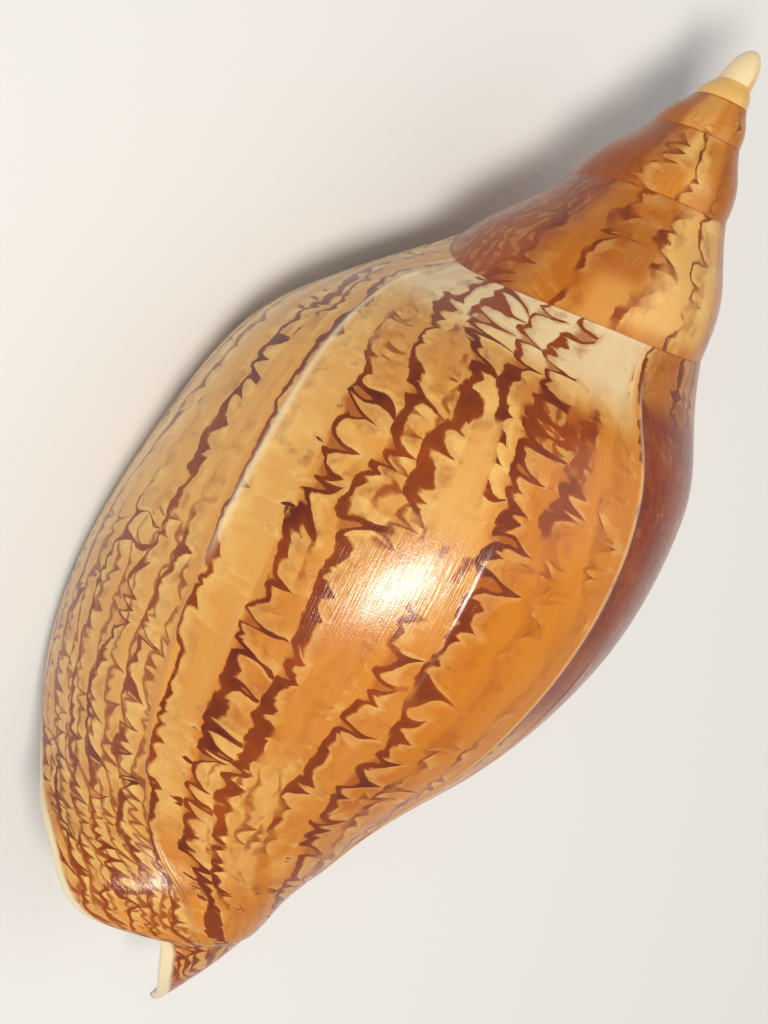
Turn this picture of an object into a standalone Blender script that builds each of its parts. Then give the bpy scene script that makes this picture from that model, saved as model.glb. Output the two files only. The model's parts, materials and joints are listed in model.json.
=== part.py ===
"""Volute sea shell lying on its mouth: one closed, grown piece with a real hollow behind the mouth.

The surface is a spiral strip. Every point has a growth coordinate n, the turns back from the lip, and
a lip coordinate t, from the suture (0) round the lobe and the siphonal notch to the tip of the pillar (1).
Lengths below are in millimetres. "Axial" is the distance from the virtual apex down the coiling axis,
"radius" the distance from that axis, and "phase" the angle round it, growing with the shell. Seen from
the back with the spire up, phase 0 is the right-hand side, 90 faces the viewer and 180 is the left.
"""

import math

import bmesh
import bpy
import numpy as np

MM = 0.001

# Mesh density of the faceted solid
ROWS_PER_TURN = 40
COVERED_COLUMNS = 6
COLUMN_KNOTS = (0.326, 0.43, 0.52, 0.61, 0.68, 0.83, 0.90, 1.0)
COLUMNS_PER_KNOT = (2, 2, 2, 2, 12, 3, 4)
SPIRE_TURNS = 4.5
CAP_RINGS = 3
SHORTEST_STEP = 0.01

# Spire: each whorl is a larger copy of the one before it
GROWTH_PER_TURN = 1.871
SUTURE_AXIAL = 46.5
SUTURE_SLOPE_OFFSET = 1.12
WHORL_AXIAL_RATIO = (1.0, 1.174, 1.392, 1.61, 1.871)
WHORL_RADIUS_RATIO = (0.42, 0.515, 0.648, 0.737, 0.79)
APEX_DOME_TOP = -2.2

# Last whorl: axial, radius and phase on the lip, then axial and radius half a turn back
LIP_PHASE = 200.0
LIP_POINTS = (
    (47.9, 21.4, 200.0, 50.0, 22.7),    # suture
    (54.1, 27.5, 202.8, 56.0, 25.5),    # ramp below the suture
    (65.3, 37.0, 197.6, 65.2, 31.1),    # shoulder
    (79.7, 47.0, 190.7, 75.4, 34.1),    # upper side
    (101.2, 50.7, 186.4, 87.4, 35.3),   # line covered by the next whorl
    (121.2, 50.7, 183.6, 102.2, 34.2),  # widest place
    (139.2, 48.1, 181.5, 120.2, 28.8),  # lower side
    (155.4, 41.7, 179.0, 135.7, 20.4),  # base
    (166.2, 34.7, 167.0, 149.6, 13.9),  # turn towards the canal
    (172.0, 31.7, 147.4, 155.6, 10.5),  # start of the lobe
    (179.3, 24.2, 129.1, 159.0, 9.2),   # lobe
    (177.1, 15.0, 96.6, 159.8, 8.5),    # siphonal notch
    (185.7, 8.0, 67.4, 163.2, 8.2),     # canal wall
    (188.5, 3.3, 20.5, 171.9, 6.5),     # tip of the pillar
)
COVERED_POINT = 4
# A full turn back the lower part is the inner lip and the pillar: axial and radius from the widest place on
PILLAR_POINTS = ((74.8, 29.2), (86.7, 25.5), (99.5, 19.2), (113.1, 13.6), (125.8, 10.2),
                 (134.3, 8.8), (141.1, 7.7), (149.6, 6.5), (159.8, 5.4))

# The suture climbs the earlier whorl just before the lip
SUTURE_CLIMB = 0.6
SUTURE_CLIMB_TURNS = 0.105
SUTURE_CLIMB_POWER = 1.6
LIP_SETBACK = 0.0045

# Wall, rim and hollow
WALL = 2.2
RIM_STEPS = 4
RIM_TURN_STEP = 0.001
CORNER_DROP = 0.035
HOLLOW_TURNS = (0.02, 0.05, 0.09, 0.14, 0.2, 0.28, 0.37, 0.47, 0.58, 0.7, 0.82, 0.94, 1.04)
CLOSING_STEPS = ((0.05, 0.45), (0.08, 0.8))

# Folds on the pillar
FOLD_PLACES = (0.705, 0.75, 0.795)
FOLD_HEIGHTS = (0.9, 1.2, 1.1)
FOLD_WIDTH = 0.0125
FOLD_FADE_TURNS = 0.2

# Rest: the direction that faces the ground, and the small flats that carry the shell
GROUND_PHASE = -120.36
GROUND_TILT = -3.3
FLAT_CUT = 0.3
FLAT_SNAP = 0.35

COLOUR = (0.72, 0.42, 0.16, 1.0)


def natural_spline(knots, values, at):
    """Value of the natural cubic spline through the knots, with values of one or more columns."""
    x = np.asarray(knots, float)
    y = np.asarray(values, float)
    q = np.asarray(at, float)
    h = np.diff(x)
    count = len(x)
    system = np.zeros((count, count))
    right = np.zeros_like(y)
    system[0, 0] = system[-1, -1] = 1.0
    for i in range(1, count - 1):
        system[i, i - 1:i + 2] = h[i - 1], 2.0 * (h[i - 1] + h[i]), h[i]
        right[i] = 6.0 * ((y[i + 1] - y[i]) / h[i] - (y[i] - y[i - 1]) / h[i - 1])
    bend = np.linalg.solve(system, right.reshape(count, -1)).reshape(y.shape)
    k = np.clip(np.searchsorted(x, q) - 1, 0, count - 2)
    column = q.shape + (1,) * (y.ndim - 1)
    step = h[k].reshape(column)
    a = (x[k + 1] - q).reshape(column) / step
    b = (q - x[k]).reshape(column) / step
    return a * y[k] + b * y[k + 1] + ((a ** 3 - a) * bend[k] + (b ** 3 - b) * bend[k + 1]) * step ** 2 / 6.0


def ease(x):
    """Smooth step from 0 to 1."""
    x = np.clip(x, 0.0, 1.0)
    return x * x * (3.0 - 2.0 * x)


def lip_stations():
    """Lip coordinate of each lip point, by length along the lip."""
    points = np.array(LIP_POINTS)
    mean_radius = (points[1:, 1] + points[:-1, 1]) / 2.0
    round_axis = np.radians(np.diff(points[:, 2])) * mean_radius
    steps = np.hypot(np.hypot(np.diff(points[:, 0]), np.diff(points[:, 1])), round_axis)
    place = np.concatenate([[0.0], np.cumsum(steps)])
    return place / place[-1]


LIP_T = lip_stations()
COVERED_T = LIP_T[COVERED_POINT]
LOG_GROWTH = math.log(GROWTH_PER_TURN)
TURN_KNOTS = np.arange(0.0, 3.0, 0.5)


def lip_phase(t):
    """Phase of the lip at lip coordinate t."""
    return natural_spline(LIP_T, np.array(LIP_POINTS)[:, 2], t)


def spire_point(phase, s):
    """Axial and radius of the spire, at part s of the way from one suture to the next."""
    suture = SUTURE_AXIAL * GROWTH_PER_TURN ** (np.asarray(phase) / 360.0)
    ratio = 1.0 + (GROWTH_PER_TURN - 1.0) * np.asarray(s, float)
    radius = suture * natural_spline(WHORL_AXIAL_RATIO, WHORL_RADIUS_RATIO, ratio) + SUTURE_SLOPE_OFFSET
    return suture * ratio, radius


def full_turn_station(t):
    """Logarithms of axial and radius one turn back: the spire's whorl, then the pillar."""
    axial, radius = spire_point(lip_phase(t) - 360.0, np.clip(t / COVERED_T, 0.0, 1.0))
    ends = np.array([COVERED_T - 0.06, COVERED_T])
    joined = np.stack(spire_point(lip_phase(ends) - 360.0, ends / COVERED_T), 1)
    knots = np.concatenate([ends, LIP_T[COVERED_POINT + 1:]])
    pillar = natural_spline(knots, np.log(np.concatenate([joined, PILLAR_POINTS])), np.maximum(t, ends[0]))
    return np.where((t <= COVERED_T)[:, None], np.log(np.stack([axial, radius], 1)), pillar)


def whorl_point(n, t):
    """Axial and radius of the last whorl and what lies inside it, before the suture is fitted."""
    points = np.array(LIP_POINTS)
    full = full_turn_station(t) + LOG_GROWTH
    shapes = np.stack([natural_spline(LIP_T, np.log(points[:, :2]), t),
                       natural_spline(LIP_T, np.log(points[:, 3:]), t) + 0.5 * LOG_GROWTH,
                       full, full, full, full])
    weights = natural_spline(TURN_KNOTS, np.eye(len(TURN_KNOTS)), np.clip(n, -0.1, 2.4))
    shape = np.exp(np.einsum("ik,kij->ij", weights, shapes) - (n * LOG_GROWTH)[:, None])
    return shape[:, 0], shape[:, 1]


def suture_share(n):
    """How far down the earlier whorl the suture runs: 1 covers it fully."""
    return 1.0 - SUTURE_CLIMB * np.exp(-(np.maximum(n, 0.0) / SUTURE_CLIMB_TURNS) ** SUTURE_CLIMB_POWER)


def outer_point(n, t):
    """Axial and radius of the outer surface at growth coordinate n and lip coordinate t."""
    n = np.asarray(n, float) * np.ones_like(t)
    axial, radius = whorl_point(n, t)
    seat = spire_point(LIP_PHASE - 360.0 * (n + 1.0), suture_share(n))
    free = whorl_point(n, np.zeros_like(t))
    near = np.clip(1.0 - t / (0.8 * COVERED_T), 0.0, 1.0) ** 2 * (n < 1.0001)
    axial = axial + (seat[0] - free[0]) * near
    radius = radius + (seat[1] - free[1]) * near
    older = ease((n - 0.75) / 0.25)
    whorl = spire_point(lip_phase(t) - 360.0 * n, np.clip(t / COVERED_T, 0.0, 1.0))
    edge_t = np.full_like(t, COVERED_T)
    edge = whorl_point(n, edge_t)
    edge_whorl = spire_point(lip_phase(edge_t) - 360.0 * n, np.ones_like(t))
    fade = np.exp(-np.maximum(t - COVERED_T, 0.0) / 0.08)
    covered = t <= COVERED_T
    axial = np.where(covered, axial + (whorl[0] - axial) * older, axial + (edge_whorl[0] - edge[0]) * fade * older)
    radius = np.where(covered, radius + (whorl[1] - radius) * older,
                      radius + (edge_whorl[1] - edge[1]) * fade * older)
    return axial, radius


def row_of(turn, t):
    """Mesh row at a turn: axial, radius, phase and n. It starts on the lip line and turns axial."""
    slant = lip_phase(t) - LIP_PHASE
    phase = LIP_PHASE - 360.0 * turn + ease(1.0 - turn) * slant
    n = (lip_phase(t) - phase) / 360.0
    axial, radius = outer_point(n, t)
    folds = sum(height * np.exp(-((t - place) / FOLD_WIDTH) ** 2)
                for place, height in zip(FOLD_PLACES, FOLD_HEIGHTS))
    radius = radius + folds * ease((turn - 1.0 + FOLD_FADE_TURNS) / FOLD_FADE_TURNS)
    return np.stack([axial, radius, phase, n], 1)


def to_xyz(rows):
    """Cartesian points, with the coiling axis on Y and the apex up."""
    angle = np.radians(rows[:, 2])
    return np.stack([rows[:, 1] * np.cos(angle), -rows[:, 0], rows[:, 1] * np.sin(angle)], 1)


def lip_turn(turn):
    """Turn with the small setback that leaves room for the rounded rim."""
    return LIP_SETBACK + turn * (1.0 - LIP_SETBACK)


def outward(turn, t):
    """Outward normals and the directions across the row, pointing out of the lip."""
    step = 1e-3
    along = to_xyz(row_of(turn, np.clip(t + step, 0.0, 1.0))) - to_xyz(row_of(turn, np.clip(t - step, 0.0, 1.0)))
    across = to_xyz(row_of(turn + step, t)) - to_xyz(row_of(turn - step, t))
    normal = np.cross(along, across)
    normal /= np.linalg.norm(normal, axis=1)[:, None]
    ahead = np.cross(normal, along)
    ahead /= np.linalg.norm(ahead, axis=1)[:, None]
    ahead *= -np.sign(np.sum(ahead * across, axis=1))[:, None]
    return normal, ahead


def spun(rows, turns):
    """Rows moved back along the spiral: smaller by the growth, and turned."""
    moved = rows.copy()
    moved[:, :2] *= GROWTH_PER_TURN ** -turns
    moved[:, 2] -= 360.0 * turns
    return to_xyz(moved)


class ShellMesh:
    """Builds the closed surface of the shell, part by part, as points and faces."""

    def __init__(self):
        self.points = []
        self.faces = []
        self.rows = {}
        self.ids = {}
        covered = np.linspace(0.0, COVERED_T, COVERED_COLUMNS + 1)
        parts = [covered]
        for low, high, count in zip(COLUMN_KNOTS[:-1], COLUMN_KNOTS[1:], COLUMNS_PER_KNOT):
            parts.append(np.linspace(max(low, COVERED_T), high, count + 1)[1:])
        self.t = np.concatenate(parts)

    def add(self, points):
        """Stores points and gives their numbers."""
        start = len(self.points)
        self.points.extend(points)
        return list(range(start, start + len(points)))

    def band(self, first, second, closed):
        """Faces between two rings or rails with the same count."""
        count = len(first)
        for i in range(count if closed else count - 1):
            j = (i + 1) % count
            self.faces.append((first[i], second[i], second[j], first[j]))

    def strip(self, first, first_places, second, second_places):
        """Triangles between two rails whose points lie at their own places along them."""
        a = b = 0
        while a < len(first) - 1 or b < len(second) - 1:
            on_first = b == len(second) - 1 or (a < len(first) - 1 and first_places[a + 1] <= second_places[b + 1])
            corner = (first[a], first[a + 1] if on_first else second[b + 1], second[b])
            if len(set(corner)) == 3:
                self.faces.append(corner)
            if on_first:
                a += 1
            else:
                b += 1

    def row_places(self, index, top):
        """Places of a spire row's points between its two sutures. The first turn narrows to nothing."""
        if index > top - ROWS_PER_TURN:
            open_share = (index - top + ROWS_PER_TURN) / ROWS_PER_TURN
            start = (GROWTH_PER_TURN ** open_share - 1.0) / (GROWTH_PER_TURN - 1.0)
            return np.linspace(start, 1.0, math.ceil(COVERED_COLUMNS * (1.0 - open_share)) + 1)
        turn = index / ROWS_PER_TURN - 1.0
        return np.linspace(0.0, 1.0, COVERED_COLUMNS + 1) * float(suture_share(lip_turn(turn)))

    def spire_row(self, index, s):
        """Row of a covered whorl: axial, radius, phase and n."""
        turn = index / ROWS_PER_TURN
        turn = 1.0 + lip_turn(turn - 1.0) if turn < 2.0 else turn
        phase = np.full(len(s), LIP_PHASE - 360.0 * turn)
        return np.stack([*spire_point(phase, s), phase, np.full(len(s), turn)], 1)

    def outer_surface(self):
        """Rows from the top of the spire down to the lip, sewn together along the suture."""
        top = round(ROWS_PER_TURN * (SPIRE_TURNS + 1.0))
        places = {}
        suture = {}
        for index in range(top, -1, -1):
            if index >= ROWS_PER_TURN:
                s = self.row_places(index, top)
                rows = self.spire_row(index, s)
                places[index] = s * COVERED_T
            else:
                rows = row_of(lip_turn(index / ROWS_PER_TURN), self.t)
                places[index] = self.t
            edge = len(rows) - 1
            if index == ROWS_PER_TURN:
                self.inner_t = self.t[self.t > places[index][-1] + SHORTEST_STEP]
                rows = np.concatenate([rows, row_of(1.0 + LIP_SETBACK, self.inner_t)])
                places[index] = np.concatenate([places[index], self.inner_t])
            points = to_xyz(rows)
            sewn = [suture[index + ROWS_PER_TURN]] if index + ROWS_PER_TURN in suture else []
            self.ids[index] = sewn + self.add(points[len(sewn):])
            self.rows[index] = rows
            suture[index] = self.ids[index][edge]
        for index in range(top):
            count = COVERED_COLUMNS + 1 if index >= ROWS_PER_TURN else len(self.t)
            near = self.ids[index][:count]
            far = self.ids[index + 1]
            if index == ROWS_PER_TURN - 1 or len(far) < count:
                self.strip(near, places[index], far, places[index + 1])
            else:
                self.band(far[:count], near, closed=False)
        self.apex_dome([self.ids[i][0] for i in range(top - ROWS_PER_TURN, top)])

    def apex_dome(self, loop):
        """Rounded tip that closes the top of the spiral strip."""
        base = np.array([self.points[i] for i in loop])
        before = loop
        for ring in range(1, CAP_RINGS + 1):
            angle = ring / (CAP_RINGS + 1) * math.pi / 2.0
            points = base * math.cos(angle)
            points[:, 1] = base[:, 1] * (1.0 - math.sin(angle)) - APEX_DOME_TOP * math.sin(angle)
            after = self.add(points)
            self.band(after, before, closed=True)
            before = after
        apex = self.add([np.array([0.0, -APEX_DOME_TOP, 0.0])])[0]
        for i in range(len(before)):
            self.faces.append((apex, before[i], before[(i + 1) % len(before)]))

    def mouth(self):
        """Rim, inner walls and the closed end of the hollow."""
        pillar = range(1, ROWS_PER_TURN)
        loop = list(self.ids[0])
        loop += [self.ids[i][-1] for i in pillar]
        loop += self.ids[ROWS_PER_TURN][:COVERED_COLUMNS:-1]
        self.outer_count = len(self.t)
        self.pillar_count = len(pillar)
        self.pillar_rows = np.array([self.rows[i][-1] for i in pillar])
        self.loop_points = np.array([self.points[i] for i in loop])
        rim_loops = self.rim()
        loops = rim_loops + [self.inner_loop(turns) for turns in HOLLOW_TURNS]
        loops += self.closing_loops()
        before = loop
        for points in loops:
            after = self.add(points)
            self.band(after, before, closed=True)
            before = after
        self.close_end(before, loops[-1])

    def wall_at(self, t):
        """Wall thickness along the lip coordinate."""
        return WALL * np.interp(t, [0.0, 0.03, 0.75, 0.93, 1.0], [1.0, 1.0, 1.0, 0.85, 0.6])

    def rim(self):
        """Half-round edge of the lip, running out along the pillar's edge."""
        outer = self.outer_count
        pillar_end = outer + self.pillar_count
        turn = lip_turn(0.0)
        normal, ahead = outward(turn, self.t)
        side = np.array([outward(lip_turn(i / ROWS_PER_TURN), np.array([1.0]))[0][0]
                         for i in range(1, ROWS_PER_TURN)])
        thick = self.wall_at(self.t)
        edge = np.linspace(thick[-1], 0.25 * WALL, self.pillar_count)
        bulge = 1.0 - 0.7 * ease((self.t - 0.85) / 0.15)
        loops = []
        for step in range(1, RIM_STEPS + 1):
            angle = math.pi * step / RIM_STEPS
            depth = (1.0 - math.cos(angle)) / 2.0
            reach = math.sin(angle) / 2.0
            turns = RIM_TURN_STEP * step
            points = self.loop_points.copy()
            points[:outer] += ahead * (thick * reach * bulge)[:, None] - normal * (thick * depth)[:, None]
            points[outer:pillar_end] -= side * (edge * depth)[:, None]
            points[pillar_end:] = spun(self.inner_rows(0.0, 0.0), turns)
            points[0] = self.corner(0.0, CORNER_DROP * ease(turns / 0.03), turns)
            loops.append(points)
        self.rim_inner = loops[-1]
        return loops

    def inner_rows(self, turns, drop):
        """Rows of the inner lip and pillar, starting below the suture, from the pillar's end up."""
        start0 = float(suture_share(LIP_SETBACK)) * COVERED_T
        start = float(suture_share(turns + LIP_SETBACK)) * COVERED_T + drop
        t = start + (1.0 - start) * (self.inner_t[::-1] - start0) / (1.0 - start0)
        return row_of(1.0 + LIP_SETBACK, t)

    def corner(self, turns, drop, spin):
        """Where the wall meets the earlier whorl, inside the mouth."""
        start = float(suture_share(turns + LIP_SETBACK)) * COVERED_T + drop
        return spun(row_of(1.0 + LIP_SETBACK, np.array([start])), spin)[0]

    def inner_loop(self, turns, widen=0.0):
        """Section of the hollow at a depth: wall, floor beside the pillar, pillar and inner lip."""
        outer = self.outer_count
        pillar_end = outer + self.pillar_count
        settle = float(ease(turns / 0.03))
        solid = float(ease(turns / 0.3))
        end = 1.0 - 0.27 * float(ease(turns / 0.5)) - 0.05 * float(ease((turns - 0.5) / 0.5))
        t = self.t + CORNER_DROP * settle * (1.0 - self.t)
        t = np.where(t > 0.3, 0.3 + (t - 0.3) * (end - 0.3) / 0.7, t)
        thick = self.wall_at(self.t) * (1.0 + 0.6 * solid * ease((self.t - 0.6) / 0.4))
        turn = lip_turn(turns)
        normal, _ = outward(turn, t)
        points = np.zeros_like(self.loop_points)
        points[:outer] = to_xyz(row_of(turn, t)) - normal * thick[:, None]
        points[pillar_end:] = spun(self.inner_rows(turns, CORNER_DROP * settle), turns)
        points[0] = self.corner(turns, CORNER_DROP * settle, turns)
        low = points[outer - 1]
        high = points[pillar_end]
        share = ((np.arange(self.pillar_count) + 1.0) / (self.pillar_count + 1.0))[:, None]
        floor = low + (high - low) * share
        floor[:, 1] -= np.sin(math.pi * share[:, 0]) * 0.2 * np.linalg.norm(high - low)
        floor_start = self.rim_inner[outer:pillar_end]
        flat = np.hypot(floor_start[:, 0], floor_start[:, 2])
        phase = np.degrees(np.arctan2(floor_start[:, 2], floor_start[:, 0]))
        phase = self.pillar_rows[:, 2] + (phase - self.pillar_rows[:, 2] + 180.0) % 360.0 - 180.0
        scale = GROWTH_PER_TURN ** -turns
        arc = to_xyz(np.stack([-floor_start[:, 1] * scale, flat * scale, phase - 360.0 * turns * share[:, 0]], 1))
        ends = [self.rim_inner[outer - 1], self.rim_inner[pillar_end]]
        turned = math.radians(360.0 * turns)
        end_low = ends[0] * scale
        end_high = ends[1] * scale
        end_high = np.array([end_high[0] * math.cos(turned) + end_high[2] * math.sin(turned), end_high[1],
                             end_high[2] * math.cos(turned) - end_high[0] * math.sin(turned)])
        arc += (low - end_low) * (1.0 - share) + (high - end_high) * share
        points[outer:pillar_end] = arc * (1.0 - solid) + floor * solid
        return points

    def rails(self):
        """The two sides of a loop: the wall, and the inner lip with the pillar."""
        count = len(self.loop_points)
        wall = list(range(self.outer_count))
        inner = [0] + list(range(count - 1, self.outer_count - 1, -1)) + [self.outer_count - 1]
        return wall, inner

    def rail_places(self, points):
        """Place of each rail point by length, from 0 to 1."""
        places = []
        for rail in self.rails():
            steps = np.linalg.norm(np.diff(points[rail], axis=0), axis=1)
            place = np.concatenate([[0.0], np.cumsum(steps)])
            places.append(place / place[-1])
        return places

    def closing_loops(self):
        """Loops that narrow towards the middle of the hollow's end."""
        wall, inner = self.rails()
        loops = []
        for extra, narrow in CLOSING_STEPS:
            points = self.inner_loop(HOLLOW_TURNS[-1] + extra)
            wall_place, inner_place = self.rail_places(points)
            facing_wall = np.stack([np.interp(wall_place, inner_place, points[inner][:, k]) for k in range(3)], 1)
            facing_inner = np.stack([np.interp(inner_place, wall_place, points[wall][:, k]) for k in range(3)], 1)
            narrowed = points.copy()
            narrowed[wall] += (facing_wall - points[wall]) * narrow / 2.0
            narrowed[inner[1:-1]] += (facing_inner - points[inner])[1:-1] * narrow / 2.0
            loops.append(narrowed)
        return loops

    def close_end(self, ring, points):
        """Closes the hollow between the two rails of the last loop."""
        wall, inner = self.rails()
        wall_place, inner_place = self.rail_places(points)
        self.strip([ring[i] for i in wall], wall_place, [ring[i] for i in inner], inner_place)


def rest_on_ground(points):
    """Turns the shell so that it lies on its mouth, spire along +Y, and adds the small flats."""
    phase = math.radians(GROUND_PHASE)
    tilt = math.radians(GROUND_TILT)
    down = np.array([math.cos(phase) * math.cos(tilt), math.sin(tilt), math.sin(phase) * math.cos(tilt)])
    up = -down
    spire = np.array([0.0, 1.0, 0.0]) - up * up[1]
    spire /= np.linalg.norm(spire)
    turned = points @ np.stack([np.cross(spire, up), spire, up], 1)
    height = turned[:, 2] - turned[:, 2].min() - FLAT_CUT
    turned[:, 2] = np.where(height < FLAT_SNAP, 0.0, height)
    low = turned.min(axis=0)
    high = turned.max(axis=0)
    turned[:, :2] -= (low[:2] + high[:2]) / 2.0
    return turned * MM


def make_material():
    """Plain glossy shell colour for the solid."""
    material = bpy.data.materials.new("shell")
    material.use_nodes = True
    surface = material.node_tree.nodes["Principled BSDF"]
    surface.inputs["Base Color"].default_value = COLOUR
    surface.inputs["Roughness"].default_value = 0.3
    return material


def make_shell():
    """Builds the shell as one closed object."""
    shell = ShellMesh()
    shell.outer_surface()
    shell.mouth()
    points = rest_on_ground(np.array(shell.points))
    build = bmesh.new()
    corners = [build.verts.new(point) for point in points]
    for face in shell.faces:
        build.faces.new([corners[i] for i in face])
    bmesh.ops.triangulate(build, faces=build.faces[:])
    bmesh.ops.recalc_face_normals(build, faces=build.faces[:])
    mesh = bpy.data.meshes.new("shell")
    build.to_mesh(mesh)
    build.free()
    mesh.shade_smooth()
    mesh.set_sharp_from_angle(angle=math.radians(50.0))
    mesh.materials.append(make_material())
    bpy.context.scene.collection.objects.link(bpy.data.objects.new("shell", mesh))


def main():
    """Clears the scene and builds the part."""
    for item in list(bpy.data.objects):
        bpy.data.objects.remove(item, do_unlink=True)
    make_shell()


main()
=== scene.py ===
"""A volute sea shell lying on its mouth, with its zigzag markings, on a pale studio floor."""

import json
import logging
import math
from dataclasses import dataclass
from enum import Enum
from functools import cached_property

import bpy
import mathutils
import numpy as np
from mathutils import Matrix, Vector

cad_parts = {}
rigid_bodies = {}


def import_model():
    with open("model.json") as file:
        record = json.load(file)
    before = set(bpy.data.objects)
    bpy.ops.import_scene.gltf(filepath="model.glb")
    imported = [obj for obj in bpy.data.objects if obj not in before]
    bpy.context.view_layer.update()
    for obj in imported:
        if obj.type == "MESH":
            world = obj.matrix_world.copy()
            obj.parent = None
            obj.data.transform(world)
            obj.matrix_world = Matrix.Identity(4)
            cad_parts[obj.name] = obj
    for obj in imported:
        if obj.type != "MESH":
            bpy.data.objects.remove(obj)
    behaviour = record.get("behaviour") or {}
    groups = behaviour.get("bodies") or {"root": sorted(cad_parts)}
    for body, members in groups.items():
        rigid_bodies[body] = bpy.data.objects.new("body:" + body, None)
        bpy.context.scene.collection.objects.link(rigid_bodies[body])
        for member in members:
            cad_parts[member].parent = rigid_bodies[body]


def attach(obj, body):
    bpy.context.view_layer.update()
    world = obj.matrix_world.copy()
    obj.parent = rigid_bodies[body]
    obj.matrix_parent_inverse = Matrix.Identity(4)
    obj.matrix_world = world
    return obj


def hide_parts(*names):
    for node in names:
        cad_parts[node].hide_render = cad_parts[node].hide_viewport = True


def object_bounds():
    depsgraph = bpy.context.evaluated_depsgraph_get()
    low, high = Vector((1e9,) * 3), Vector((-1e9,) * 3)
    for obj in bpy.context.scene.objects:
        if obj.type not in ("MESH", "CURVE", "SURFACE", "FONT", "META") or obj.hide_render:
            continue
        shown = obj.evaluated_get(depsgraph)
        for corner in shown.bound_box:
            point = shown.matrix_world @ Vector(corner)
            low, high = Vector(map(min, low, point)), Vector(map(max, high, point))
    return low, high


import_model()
CAD_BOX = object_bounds()
LOG = logging.getLogger("shell")
Array = np.ndarray
Colour = tuple[float, float, float, float]
METRES = 0.001  # a millimetre in metres


def natural_spline(knots: Array, values: Array, at: Array) -> Array:
    """Value of the natural cubic spline through the knots.

    Args:
        knots: Rising places of the knots.
        values: One value or row of values for each knot.
        at: Places to read.

    Returns:
        One value or row of values for each place.
    """
    x = np.asarray(knots, float)
    y = np.asarray(values, float)
    q = np.asarray(at, float)
    h = np.diff(x)
    count = len(x)
    system = np.zeros((count, count))
    right = np.zeros_like(y)
    system[0, 0] = system[-1, -1] = 1.0
    for i in range(1, count - 1):
        system[i, i - 1:i + 2] = h[i - 1], 2.0 * (h[i - 1] + h[i]), h[i]
        right[i] = 6.0 * ((y[i + 1] - y[i]) / h[i] - (y[i] - y[i - 1]) / h[i - 1])
    bend = np.linalg.solve(system, right.reshape(count, -1)).reshape(y.shape)
    k = np.clip(np.searchsorted(x, q) - 1, 0, count - 2)
    column = q.shape + (1,) * (y.ndim - 1)
    step = h[k].reshape(column)
    a = (x[k + 1] - q).reshape(column) / step
    b = (q - x[k]).reshape(column) / step
    return a * y[k] + b * y[k + 1] + ((a ** 3 - a) * bend[k] + (b ** 3 - b) * bend[k + 1]) * step ** 2 / 6.0


def ease(x: Array) -> Array:
    """Smooth step from 0 to 1."""
    x = np.clip(x, 0.0, 1.0)
    return x * x * (3.0 - 2.0 * x)


def add_object(name: str, data: bpy.types.ID) -> bpy.types.Object:
    """Makes an object and links it to the scene."""
    made = bpy.data.objects.new(name, data)
    bpy.context.scene.collection.objects.link(made)
    return made


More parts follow.
